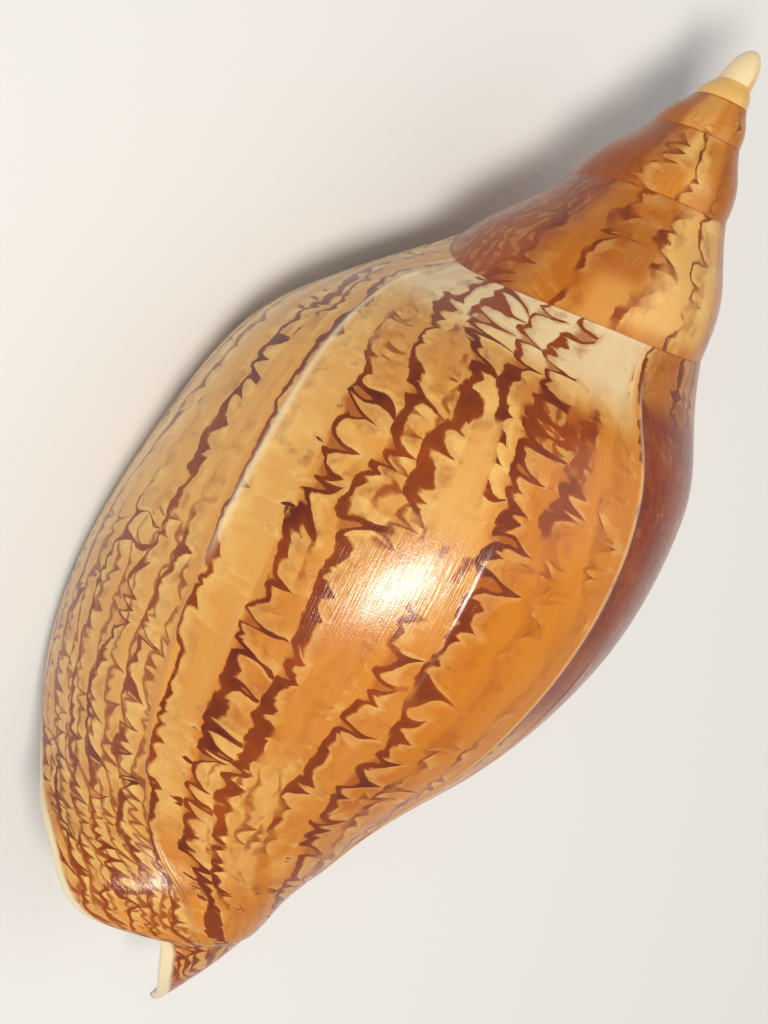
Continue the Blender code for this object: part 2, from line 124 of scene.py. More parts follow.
@dataclass(frozen=True)
class Growth:
    """The spiral rule of the shell, in millimetres. n is turns back from the lip, t runs along the lip."""

    per_turn: float = 1.871
    suture_axial: float = 46.5
    suture_slope_offset: float = 1.12
    whorl_axial: tuple[float, ...] = (1.0, 1.174, 1.392, 1.61, 1.871)
    whorl_radius: tuple[float, ...] = (0.42, 0.515, 0.648, 0.737, 0.79)
    lip_phase: float = 200.0
    # From a fit to the photograph's outline: axial, radius and phase on the lip, then axial and radius half a
    # turn back, from the suture to the tip
    lip: tuple[tuple[float, ...], ...] = (
        (47.9, 21.4, 200.0, 50.0, 22.7),
        (54.1, 27.5, 202.8, 56.0, 25.5),
        (65.3, 37.0, 197.6, 65.2, 31.1),
        (79.7, 47.0, 190.7, 75.4, 34.1),
        (101.2, 50.7, 186.4, 87.4, 35.3),
        (121.2, 50.7, 183.6, 102.2, 34.2),
        (139.2, 48.1, 181.5, 120.2, 28.8),
        (155.4, 41.7, 179.0, 135.7, 20.4),
        (166.2, 34.7, 167.0, 149.6, 13.9),
        (172.0, 31.7, 147.4, 155.6, 10.5),
        (179.3, 24.2, 129.1, 159.0, 9.2),
        (177.1, 15.0, 96.6, 159.8, 8.5),
        (185.7, 8.0, 67.4, 163.2, 8.2),
        (188.5, 3.3, 20.5, 171.9, 6.5),
    )
    covered_point: int = 4
    pillar: tuple[tuple[float, float], ...] = (
        (74.8, 29.2), (86.7, 25.5), (99.5, 19.2), (113.1, 13.6), (125.8, 10.2),
        (134.3, 8.8), (141.1, 7.7), (149.6, 6.5), (159.8, 5.4),
    )
    climb: float = 0.6
    climb_turns: float = 0.105
    climb_power: float = 1.6
    setback: float = 0.0045
    fold_places: tuple[float, ...] = (0.705, 0.75, 0.795)
    fold_heights: tuple[float, ...] = (0.9, 1.2, 1.1)
    fold_width: float = 0.0125
    fold_fade: float = 0.2
    slant_kept: float = 0.43
    join_width: float = 0.06
    shape_limits: tuple[float, float] = (-0.1, 2.4)
    seat_reach: float = 0.8
    older_start: float = 0.75
    older_length: float = 0.25
    edge_fade: float = 0.08

    @cached_property
    def points(self) -> Array:
        """Lip points as an array."""
        return np.array(self.lip)

    @cached_property
    def lip_steps(self) -> Array:
        """Length of the lip from each point to the next, in millimetres."""
        axial, radius, phase = self.points[:, :3].T
        turned = np.radians(np.diff(phase)) * (radius[1:] + radius[:-1]) / 2.0
        return np.hypot(np.hypot(np.diff(axial), np.diff(radius)), turned)

    @cached_property
    def lip_t(self) -> Array:
        """Lip coordinate of each lip point, by length along the lip."""
        place = np.concatenate([[0.0], np.cumsum(self.lip_steps)])
        return place / place[-1]

    @cached_property
    def lip_length(self) -> float:
        """Length of the lip in millimetres."""
        return float(np.sum(self.lip_steps))

    @cached_property
    def covered(self) -> float:
        """Lip coordinate of the line that the next whorl covers."""
        return float(self.lip_t[self.covered_point])

    @cached_property
    def log_growth(self) -> float:
        """Logarithm of the growth in one turn."""
        return math.log(self.per_turn)

    def phase(self, t: Array) -> Array:
        """Angle of the lip round the axis, in degrees, at lip coordinate t."""
        return natural_spline(self.lip_t, self.points[:, 2], t)

    def spire(self, phase: Array, s: Array) -> tuple[Array, Array]:
        """Axial and radius of the spire.

        Args:
            phase: Angle round the axis in degrees, less 360 for each turn back.
            s: Part of the way from the upper suture to the lower one.

        Returns:
            Axial place and radius.
        """
        suture = self.suture_axial * self.per_turn ** (np.asarray(phase) / 360.0)
        ratio = 1.0 + (self.per_turn - 1.0) * np.asarray(s, float)
        profile = natural_spline(self.whorl_axial, self.whorl_radius, ratio)
        return suture * ratio, suture * profile + self.suture_slope_offset

    def full_turn(self, t: Array) -> Array:
        """Logarithms of axial and radius one turn back: the spire's whorl, then the pillar.

        Args:
            t: Lip coordinates.

        Returns:
            One row for each place.
        """
        axial, radius = self.spire(self.phase(t) - 360.0, np.clip(t / self.covered, 0.0, 1.0))
        ends = np.array([self.covered - self.join_width, self.covered])
        joined = np.stack(self.spire(self.phase(ends) - 360.0, ends / self.covered), 1)
        knots = np.concatenate([ends, self.lip_t[self.covered_point + 1:]])
        low = natural_spline(knots, np.log(np.concatenate([joined, self.pillar])), np.maximum(t, ends[0]))
        return np.where((t <= self.covered)[:, None], np.log(np.stack([axial, radius], 1)), low)

    def whorl(self, n: Array, t: Array) -> tuple[Array, Array]:
        """Axial and radius of the last whorl and of what lies inside it, before the suture is fitted.

        Args:
            n: Turns back from the lip.
            t: Lip coordinates.

        Returns:
            Axial places and radii.
        """
        full = self.full_turn(t) + self.log_growth
        shapes = np.stack([natural_spline(self.lip_t, np.log(self.points[:, :2]), t),
                           natural_spline(self.lip_t, np.log(self.points[:, 3:]), t) + 0.5 * self.log_growth,
                           full, full, full, full])
        knots = np.arange(0.0, 3.0, 0.5)
        weights = natural_spline(knots, np.eye(len(knots)), np.clip(n, *self.shape_limits))
        shape = np.exp(np.einsum("ik,kij->ij", weights, shapes) - (n * self.log_growth)[:, None])
        return shape[:, 0], shape[:, 1]

    def suture_share(self, n: Array) -> Array:
        """How far down the earlier whorl the suture runs: 1 covers it fully."""
        return 1.0 - self.climb * np.exp(-(np.maximum(n, 0.0) / self.climb_turns) ** self.climb_power)

    def outer(self, n: Array, t: Array) -> tuple[Array, Array]:
        """Axial and radius of the outer surface at growth coordinate n and lip coordinate t.

        Args:
            n: Turns back from the lip.
            t: Lip coordinates.

        Returns:
            Axial places and radii.
        """
        n = np.asarray(n, float) * np.ones_like(t)
        axial, radius = self.whorl(n, t)
        seat = self.spire(self.lip_phase - 360.0 * (n + 1.0), self.suture_share(n))
        free = self.whorl(n, np.zeros_like(t))
        near = np.clip(1.0 - t / (self.seat_reach * self.covered), 0.0, 1.0) ** 2 * (n < 1.0001)
        axial = axial + (seat[0] - free[0]) * near
        radius = radius + (seat[1] - free[1]) * near
        older = ease((n - self.older_start) / self.older_length)
        whorl = self.spire(self.phase(t) - 360.0 * n, np.clip(t / self.covered, 0.0, 1.0))
        edge_t = np.full_like(t, self.covered)
        edge = self.whorl(n, edge_t)
        edge_whorl = self.spire(self.phase(edge_t) - 360.0 * n, np.ones_like(t))
        fade = np.exp(-np.maximum(t - self.covered, 0.0) / self.edge_fade)
        above = t <= self.covered
        return tuple(own + np.where(above, whorl[k] - own, (edge_whorl[k] - edge[k]) * fade) * older
                     for k, own in enumerate((axial, radius)))

    def row(self, turn: float, t: Array) -> Array:
        """Mesh row: axial, radius, phase and n. It follows the growth lines near the lip.

        Args:
            turn: Turn of the row.
            t: Lip coordinates.

        Returns:
            One row for each place.
        """
        slant = self.phase(t) - self.lip_phase
        kept = min(1.0, max(0.0, (1.0 - turn) / (1.0 - self.slant_kept)))
        phase = self.lip_phase - 360.0 * turn + kept * slant
        n = (self.phase(t) - phase) / 360.0
        axial, radius = self.outer(n, t)
        folds = sum(height * np.exp(-((t - place) / self.fold_width) ** 2)
                    for place, height in zip(self.fold_places, self.fold_heights))
        radius = radius + folds * ease((turn - 1.0 + self.fold_fade) / self.fold_fade)
        return np.stack([axial, radius, phase, n], 1)

    def lip_turn(self, turn: float) -> float:
        """Turn with the small setback that leaves room for the rounded rim."""
        return self.setback + turn * (1.0 - self.setback)

    def to_xyz(self, rows: Array) -> Array:
        """Cartesian points, with the coiling axis on Y and the apex up."""
        angle = np.radians(rows[:, 2])
        return np.stack([rows[:, 1] * np.cos(angle), -rows[:, 0], rows[:, 1] * np.sin(angle)], 1)

    def outward(self, turn: float, t: Array) -> tuple[Array, Array]:
        """Outward normals of a row, and the directions across it that point out of the lip.

        Args:
            turn: Turn of the row.
            t: Lip coordinates.

        Returns:
            Unit normals and unit directions.
        """
        step = 1e-3
        along = (self.to_xyz(self.row(turn, np.clip(t + step, 0.0, 1.0)))
                 - self.to_xyz(self.row(turn, np.clip(t - step, 0.0, 1.0))))
        across = self.to_xyz(self.row(turn + step, t)) - self.to_xyz(self.row(turn - step, t))
        normal = np.cross(along, across)
        normal /= np.linalg.norm(normal, axis=1)[:, None]
        ahead = np.cross(normal, along)
        ahead /= np.linalg.norm(ahead, axis=1)[:, None]
        ahead *= -np.sign(np.sum(ahead * across, axis=1))[:, None]
        return normal, ahead

    def spun(self, rows: Array, turns: float) -> Array:
        """Points of rows moved back along the spiral: smaller by the growth, and turned.

        Args:
            rows: Axial, radius and phase.
            turns: How far they move.

        Returns:
            Cartesian points.
        """
        moved = rows.copy()
        moved[:, :2] *= self.per_turn ** -turns
        moved[:, 2] -= 360.0 * turns
        return self.to_xyz(moved)


@dataclass(frozen=True)
class GrowthLine:
    """A raised line left by an earlier lip."""

    n: float
    height: float
    half_width: float
    start: float
    end: float
    paleness: float
    pale_end: float


class Side(Enum):
    """Side of the wall that a point belongs to, as stored in the surface attribute."""

    OUTSIDE = 0.0
    RIM = 0.5
    HOLLOW = 1.0


@dataclass
class Ring:
    """A rail or loop of points with its places on the shell.

    Attributes:
        ids: Point numbers.
        places: n, t and side for each point.
    """

    ids: list[int]
    places: Array


class ShellMesh:
    """Builds the closed surface of the shell as points, faces and face-corner places."""

    def __init__(self, growth: Growth, form: "ShellForm") -> None:
        """Starts an empty surface.

        Args:
            growth: Spiral rule.
            form: Mesh density, wall and hollow.
        """
        self.growth = growth
        self.form = form
        self.points: list[Array] = []
        self.weights: list[tuple[float, float, float]] = []
        self.faces: list[tuple[int, ...]] = []
        self.corners: list[tuple[float, float, float]] = []
        self.rings: dict[int, Ring] = {}
        self.rows: dict[int, Array] = {}
        self.t = form.columns()
        self.shares = form.row_shares()

    def add(self, points: Array, weights: Array | None = None) -> list[int]:
        """Stores points, with n, t and relief weight for each, and gives their numbers.

        Args:
            points: Points in millimetres.
            weights: n, t and relief weight for each, or nothing for places without relief.

        Returns:
            Numbers of the points.
        """
        start = len(self.points)
        self.points.extend(points)
        flat = np.zeros((len(points), 3)) if weights is None else weights
        self.weights.extend(map(tuple, flat))
        return list(range(start, start + len(points)))

    def face(self, ids: tuple[int, ...], places: tuple[Array, ...]) -> None:
        """Stores one face with the place of each corner."""
        self.faces.append(ids)
        self.corners.extend(map(tuple, places))

    def band(self, first: Ring, second: Ring, closed: bool) -> None:
        """Faces between two rings or rails with the same count.

        Args:
            first: Ring on one side.
            second: Ring on the other.
            closed: Whether they run all the way round.
        """
        count = len(first.ids)
        a, b, u, v = first.ids, second.ids, first.places, second.places
        for i in range(count if closed else count - 1):
            j = (i + 1) % count
            self.face((a[i], a[j], b[j], b[i]), (u[i], u[j], v[j], v[i]))

    def strip(self, first: Ring, first_keys: Array, second: Ring, second_keys: Array) -> None:
        """Triangles between two rails whose points lie at their own keys along them.

        Args:
            first: Rail on one side.
            first_keys: Rising keys of its points.
            second: Rail on the other.
            second_keys: Rising keys of its points.
        """
        a = b = 0
        last_a, last_b = len(first.ids) - 1, len(second.ids) - 1
        while a < last_a or b < last_b:
            on_first = b == last_b or (a < last_a and first_keys[a + 1] <= second_keys[b + 1])
            nearest, place = ((first.ids[a + 1], first.places[a + 1]) if on_first
                              else (second.ids[b + 1], second.places[b + 1]))
            ids = (first.ids[a], second.ids[b], nearest)
            if len(set(ids)) == 3:
                self.face(ids, (first.places[a], second.places[b], place))
            if on_first:
                a += 1
            else:
                b += 1

    def turn_of(self, index: int) -> float:
        """Turn of a mesh row, evenly repeated in each turn."""
        whole, part = divmod(index, len(self.shares))
        return whole + float(self.shares[part])

    def spire_places(self, index: int, top: int) -> Array:
        """Places of a spire row's points between its sutures. The first turn narrows to nothing.

        Args:
            index: Number of the row.
            top: Number of the last row.

        Returns:
            Shares of the way from the upper suture to the lower one.
        """
        per_turn = len(self.shares)
        count = self.form.covered_columns
        turn = self.turn_of(index)
        if index > top - per_turn:
            open_share = turn - self.turn_of(top - per_turn)
            start = (self.growth.per_turn ** open_share - 1.0) / (self.growth.per_turn - 1.0)
            return np.linspace(start, 1.0, math.ceil(count * (1.0 - open_share)) + 1)
        share = float(self.growth.suture_share(self.growth.lip_turn(turn - 1.0)))
        return np.linspace(0.0, 1.0, count + 1) * share

    def outer_surface(self) -> None:
        """Rows from the top of the spire down to the lip, sewn together along the suture."""
        g = self.growth
        per_turn = len(self.shares)
        top = per_turn * self.form.spire_turns + per_turn // 2 + per_turn
        keys: dict[int, Array] = {}
        suture: dict[int, int] = {}
        for index in range(top, -1, -1):
            turn = self.turn_of(index)
            if index >= per_turn:
                s = self.spire_places(index, top)
                real = 1.0 + g.lip_turn(turn - 1.0) if turn < 2.0 else turn
                phase = np.full(len(s), g.lip_phase - 360.0 * real)
                rows = np.stack([*g.spire(phase, s), phase, np.full(len(s), real)], 1)
                keys[index] = s * g.covered
            else:
                rows = g.row(g.lip_turn(turn), self.t)
                keys[index] = self.t
            edge = len(rows) - 1
            if index == per_turn:
                self.inner_t = self.t[self.t > keys[index][-1] + self.form.seam_gap]
                rows = np.concatenate([rows, g.row(1.0 + g.setback, self.inner_t)])
                keys[index] = np.concatenate([keys[index], self.inner_t])
            points = g.to_xyz(rows)
            places = np.stack([rows[:, 3], keys[index], np.zeros(len(rows))], 1)
            weights = places.copy()
            weights[:, 2] = self.form.relief_weight(rows[:, 3], keys[index])
            if index >= per_turn:
                weights[:, 2] *= ease((s[-1] * g.covered - keys[index]) / self.form.relief_edge)
            sewn = [suture[index + per_turn]] if index + per_turn in suture else []
            ids = sewn + self.add(points[len(sewn):], weights[len(sewn):])
            self.rings[index] = Ring(ids, places)
            self.rows[index] = rows
            suture[index] = ids[edge]
        for index in range(top):
            count = self.form.covered_columns + 1 if index >= per_turn else len(self.t)
            near, far = self.rings[index], self.rings[index + 1]
            near = Ring(near.ids[:count], near.places[:count])
            if index == per_turn - 1 or len(far.ids) < count:
                self.strip(far, keys[index + 1], near, keys[index])
            else:
                self.band(near, Ring(far.ids[:count], far.places[:count]), closed=False)
        ends = [self.rings[i] for i in range(top - per_turn, top)]
        self.apex_dome(Ring([ring.ids[0] for ring in ends], np.array([ring.places[0] for ring in ends])))

    def apex_dome(self, loop: Ring) -> None:
        """Rounded tip that closes the top of the spiral strip.

        Args:
            loop: Edge of the strip's first turn.
        """
        base = np.array([self.points[i] for i in loop.ids])
        before = loop
        count = self.form.dome_rings
        high = self.form.dome_top
        for ring in range(1, count + 1):
            angle = ring / (count + 1) * math.pi / 2.0
            points = base * math.cos(angle)
            points[:, 1] = base[:, 1] * (1.0 - math.sin(angle)) + high * math.sin(angle)
            places = loop.places.copy()
            places[:, 0] += self.form.dome_turns * ring / count
            after = Ring(self.add(points), places)
            self.band(before, after, closed=True)
            before = after
        apex = self.add(np.array([[0.0, high, 0.0]]))[0]
        for i in range(len(before.ids)):
            j = (i + 1) % len(before.ids)
            self.face((before.ids[i], before.ids[j], apex),
                      (before.places[i], before.places[j], before.places[i]))

    def mouth(self) -> None:
        """Rim, inner walls and the closed end of the hollow."""
        g = self.growth
        per_turn = len(self.shares)
        ring0, ring1 = self.rings[0], self.rings[per_turn]
        inner = ring1.ids[:self.form.covered_columns:-1]
        pillar = [self.rings[i] for i in range(1, per_turn)]
        self.outer_count = len(self.t)
        self.pillar_count = len(pillar)
        self.pillar_rows = np.array([self.rows[i][-1] for i in range(1, per_turn)])
        ids = list(ring0.ids) + [ring.ids[-1] for ring in pillar] + inner
        self.loop_points = np.array([self.points[i] for i in ids])
        self.pillar_turns = np.array([self.turn_of(i) for i in range(1, per_turn)])
        start = self.loop_places(0.0)
        start[:self.outer_count + self.pillar_count, 2] = Side.OUTSIDE.value
        before = Ring(ids, start)
        rims = self.rim()
        count = len(rims)
        loops = [(points, self.loop_places(0.0, Side.RIM.value if k < count - 1 else Side.HOLLOW.value))
                 for k, points in enumerate(rims)]
        loops += [(self.inner_loop(turns), self.loop_places(turns)) for turns in self.form.hollow_turns]
        loops += self.closing_loops()
        for points, places in loops:
            after = Ring(self.add(points), places)
            self.band(after, before, closed=True)
            before = after
        self.close_end(before, loops[-1][0])

    def loop_places(self, turns: float, side: float = Side.HOLLOW.value) -> Array:
        """Places of a loop of the hollow: n, t and side.

        Args:
            turns: Depth of the loop.
            side: Side of the wall.

        Returns:
            One row for each point.
        """
        total = self.outer_count + self.pillar_count + len(self.inner_t)
        places = np.full((total, 3), Side.HOLLOW.value)
        places[:, 0] = turns
        places[:self.outer_count, 1] = self.t
        places[self.outer_count:, 1] = 1.0
        places[self.outer_count + self.pillar_count:, 1] = self.inner_t[::-1]
        places[:self.outer_count + self.pillar_count, 2] = side
        return places

    def wall_at(self, t: Array) -> Array:
        """Wall thickness along the lip coordinate."""
        return self.form.wall * np.interp(t, [0.0, 0.03, 0.75, 0.93, 1.0], [1.0, 1.0, 1.0, 0.85, 0.6])

    def rim(self) -> list[Array]:
        """Half-round edge of the lip, running out along the pillar's edge.

        Returns:
            Loops from the outside in.
        """
        g = self.growth
        outer = self.outer_count
        pillar_end = outer + self.pillar_count
        normal, ahead = g.outward(g.lip_turn(0.0), self.t)
        side = np.array([g.outward(g.lip_turn(float(turn)), np.array([1.0]))[0][0]
                         for turn in self.pillar_turns])
        thick = self.wall_at(self.t)
        edge = np.interp(self.pillar_turns, [0.0, 1.0], [thick[-1], self.form.pillar_edge * self.form.wall])
        bulge = 1.0 - 0.7 * ease((self.t - 0.85) / 0.15)
        loops = []
        for step in range(1, self.form.rim_steps + 1):
            angle = math.pi * step / self.form.rim_steps
            depth = (1.0 - math.cos(angle)) / 2.0
            reach = math.sin(angle) / 2.0
            turns = self.form.rim_turns * step / self.form.rim_steps
            points = self.loop_points.copy()
            points[:outer] += ahead * (thick * reach * bulge)[:, None] - normal * (thick * depth)[:, None]
            points[outer:pillar_end] -= side * (edge * depth)[:, None]
            points[pillar_end:] = g.spun(self.inner_rows(0.0, 0.0), turns)
            drop = self.form.corner_drop * float(ease(turns / self.form.settle_turns))
            points[0] = self.corner(0.0, drop, turns)
            loops.append(points)
        self.rim_inner = loops[-1]
        return loops

    def inner_rows(self, turns: float, drop: float) -> Array:
        """Rows of the inner lip and pillar, starting below the suture, from the pillar's end up.

        Args:
            turns: Depth of the section.
            drop: How far below the suture they start.

        Returns:
            Axial, radius, phase and n.
        """
        g = self.growth
        start0 = float(g.suture_share(g.setback)) * g.covered
        start = float(g.suture_share(turns + g.setback)) * g.covered + drop
        t = start + (1.0 - start) * (self.inner_t[::-1] - start0) / (1.0 - start0)
        return g.row(1.0 + g.setback, t)

    def corner(self, turns: float, drop: float, spin: float) -> Array:
        """Where the wall meets the earlier whorl, inside the mouth.

        Args:
            turns: Depth of the section.
            drop: How far below the suture it lies.
            spin: How far it moves back along the spiral.

        Returns:
            One point.
        """
        g = self.growth
        start = float(g.suture_share(turns + g.setback)) * g.covered + drop
        return g.spun(g.row(1.0 + g.setback, np.array([start])), spin)[0]

    def inner_loop(self, turns: float) -> Array:
        """Section of the hollow at a depth: wall, floor beside the pillar, pillar and inner lip.

        Args:
            turns: Depth in turns.

        Returns:
            Points in the order of the mouth's loop.
        """
        g = self.growth
        outer = self.outer_count
        pillar_end = outer + self.pillar_count
        settle = float(ease(turns / self.form.settle_turns))
        solid = float(ease(turns / self.form.solid_turns))
        end = 1.0 - 0.27 * float(ease(turns / 0.5)) - 0.05 * float(ease((turns - 0.5) / 0.5))
        t = self.t + self.form.corner_drop * settle * (1.0 - self.t)
        t = np.where(t > 0.3, 0.3 + (t - 0.3) * (end - 0.3) / 0.7, t)
        thick = self.wall_at(self.t) * (1.0 + 0.6 * solid * ease((self.t - 0.6) / 0.4))
        turn = g.lip_turn(turns)
        normal, _ = g.outward(turn, t)
        points = np.zeros_like(self.loop_points)
        points[:outer] = g.to_xyz(g.row(turn, t)) - normal * thick[:, None]
        points[pillar_end:] = g.spun(self.inner_rows(turns, self.form.corner_drop * settle), turns)
        points[0] = self.corner(turns, self.form.corner_drop * settle, turns)
        low, high = points[outer - 1], points[pillar_end]
        share = ((np.arange(self.pillar_count) + 1.0) / (self.pillar_count + 1.0))[:, None]
        floor = low + (high - low) * share
        floor[:, 1] -= np.sin(math.pi * share[:, 0]) * 0.2 * np.linalg.norm(high - low)
        edge = self.rim_inner[outer:pillar_end]
        phase = np.degrees(np.arctan2(edge[:, 2], edge[:, 0]))
        phase = self.pillar_rows[:, 2] + (phase - self.pillar_rows[:, 2] + 180.0) % 360.0 - 180.0
        scale = g.per_turn ** -turns
        arc = g.to_xyz(np.stack([-edge[:, 1] * scale, np.hypot(edge[:, 0], edge[:, 2]) * scale,
                                 phase - 360.0 * turns * share[:, 0]], 1))
        turned = math.radians(360.0 * turns)
        end_low = self.rim_inner[outer - 1] * scale
        far = self.rim_inner[pillar_end] * scale
        end_high = np.array([far[0] * math.cos(turned) + far[2] * math.sin(turned), far[1],
                             far[2] * math.cos(turned) - far[0] * math.sin(turned)])
        arc += (low - end_low) * (1.0 - share) + (high - end_high) * share
        points[outer:pillar_end] = arc * (1.0 - solid) + floor * solid
        return points

    def rails(self) -> tuple[list[int], list[int]]:
        """The two sides of a loop: the wall, and the inner lip with the pillar.

        Returns:
            Positions in the loop for each side.
        """
        wall = list(range(self.outer_count))
        last = len(self.loop_points) - 1
        return wall, [0, *range(last, self.outer_count - 1, -1), self.outer_count - 1]

    def rail_keys(self, points: Array) -> list[Array]:
        """Place of each rail point by length, from 0 to 1.

        Args:
            points: Points of a loop.

        Returns:
            Keys of the wall and of the inner rail.
        """
        keys = []
        for rail in self.rails():
            key = np.concatenate([[0.0], np.cumsum(np.linalg.norm(np.diff(points[rail], axis=0), axis=1))])
            keys.append(key / key[-1])
        return keys

    def closing_loops(self) -> list[tuple[Array, Array]]:
        """Loops that narrow towards the middle of the hollow's end.

        Returns:
            Points and places of each loop.
        """
        wall, inner = self.rails()
        loops = []
        for extra, narrow in ((0.05, 0.45), (0.08, 0.8)):
            points = self.inner_loop(self.form.hollow_turns[-1] + extra)
            wall_key, inner_key = self.rail_keys(points)
            facing_wall = np.stack([np.interp(wall_key, inner_key, points[inner][:, k]) for k in range(3)], 1)
            facing_inner = np.stack([np.interp(inner_key, wall_key, points[wall][:, k]) for k in range(3)], 1)
            narrowed = points.copy()
            narrowed[wall] += (facing_wall - points[wall]) * narrow / 2.0
            narrowed[inner[1:-1]] += (facing_inner - points[inner])[1:-1] * narrow / 2.0
            loops.append((narrowed, self.loop_places(self.form.hollow_turns[-1] + extra)))
        return loops

    def close_end(self, ring: Ring, points: Array) -> None:
        """Closes the hollow between the two rails of the last loop.

        Args:
            ring: Last loop.
            points: Its points.
        """
        wall, inner = self.rails()
        wall_key, inner_key = self.rail_keys(points)
        self.strip(Ring([ring.ids[i] for i in wall], ring.places[wall]), wall_key,
                   Ring([ring.ids[i] for i in inner], ring.places[inner]), inner_key)


@dataclass(frozen=True)
class Placement:
    """How the shell lies: the direction that faces the ground, and the cut of its small flats."""

    ground_phase: float = -120.36
    ground_tilt: float = -3.3
    flat_cut: float = 0.3

    @cached_property
    def turn(self) -> Array:
        """Matrix whose columns are the row frame's X, Y and Z in the shell's own frame."""
        phase, tilt = math.radians(self.ground_phase), math.radians(self.ground_tilt)
        up = -np.array([math.cos(phase) * math.cos(tilt), math.sin(tilt), math.sin(phase) * math.cos(tilt)])
        spire = np.array([0.0, 1.0, 0.0]) - up * up[1]
        spire /= np.linalg.norm(spire)
        return np.stack([np.cross(spire, up), spire, up], 1)

    def lay(self, points: Array) -> tuple[Array, Array]:
        """Lays the shell on the ground inside the solid's box.

        Args:
            points: Points in the shell's own frame, in millimetres.

        Returns:
            Points in metres in the row frame, and the shift that was added, in metres.
        """
        turned = points @ self.turn
        low, high = turned.min(axis=0), turned.max(axis=0)
        shift = np.array([-(low[0] + high[0]) / 2.0, -(low[1] + high[1]) / 2.0, -low[2] - self.flat_cut])
        laid = (turned + shift) * METRES
        laid[:, 2] = np.maximum(laid[:, 2], 0.0)
        box_low, box_high = np.array(CAD_BOX[0]), np.array(CAD_BOX[1])
        size = laid.max(axis=0) - laid.min(axis=0)
        fit = np.minimum((box_high - box_low) / size, 1.0)
        return laid * fit, shift * METRES

    def carry(self, point: Array, shift: Array) -> mathutils.Vector:
        """A point of the shell's own frame, in millimetres, as a place in the row frame."""
        return mathutils.Vector(np.asarray(point) @ self.turn * METRES + shift)

    def direction(self, own: Array) -> mathutils.Vector:
        """A direction of the shell's own frame in the row frame."""
        return mathutils.Vector(np.asarray(own) @ self.turn).normalized()


@dataclass(frozen=True)
class Mark:
    """A dark serrated band that runs along the growth lines.

    Attributes:
        line: n of its sharp edge at the eight places of MarkLayout.knots.
        width: Width in millimetres at the same places.
        ink: Strength of its colour at the same places.
        spike: Length in millimetres of the points that it sends towards the older shell.
    """

    line: tuple[float, ...]
    width: tuple[float, ...]
    ink: tuple[float, ...]
    spike: float


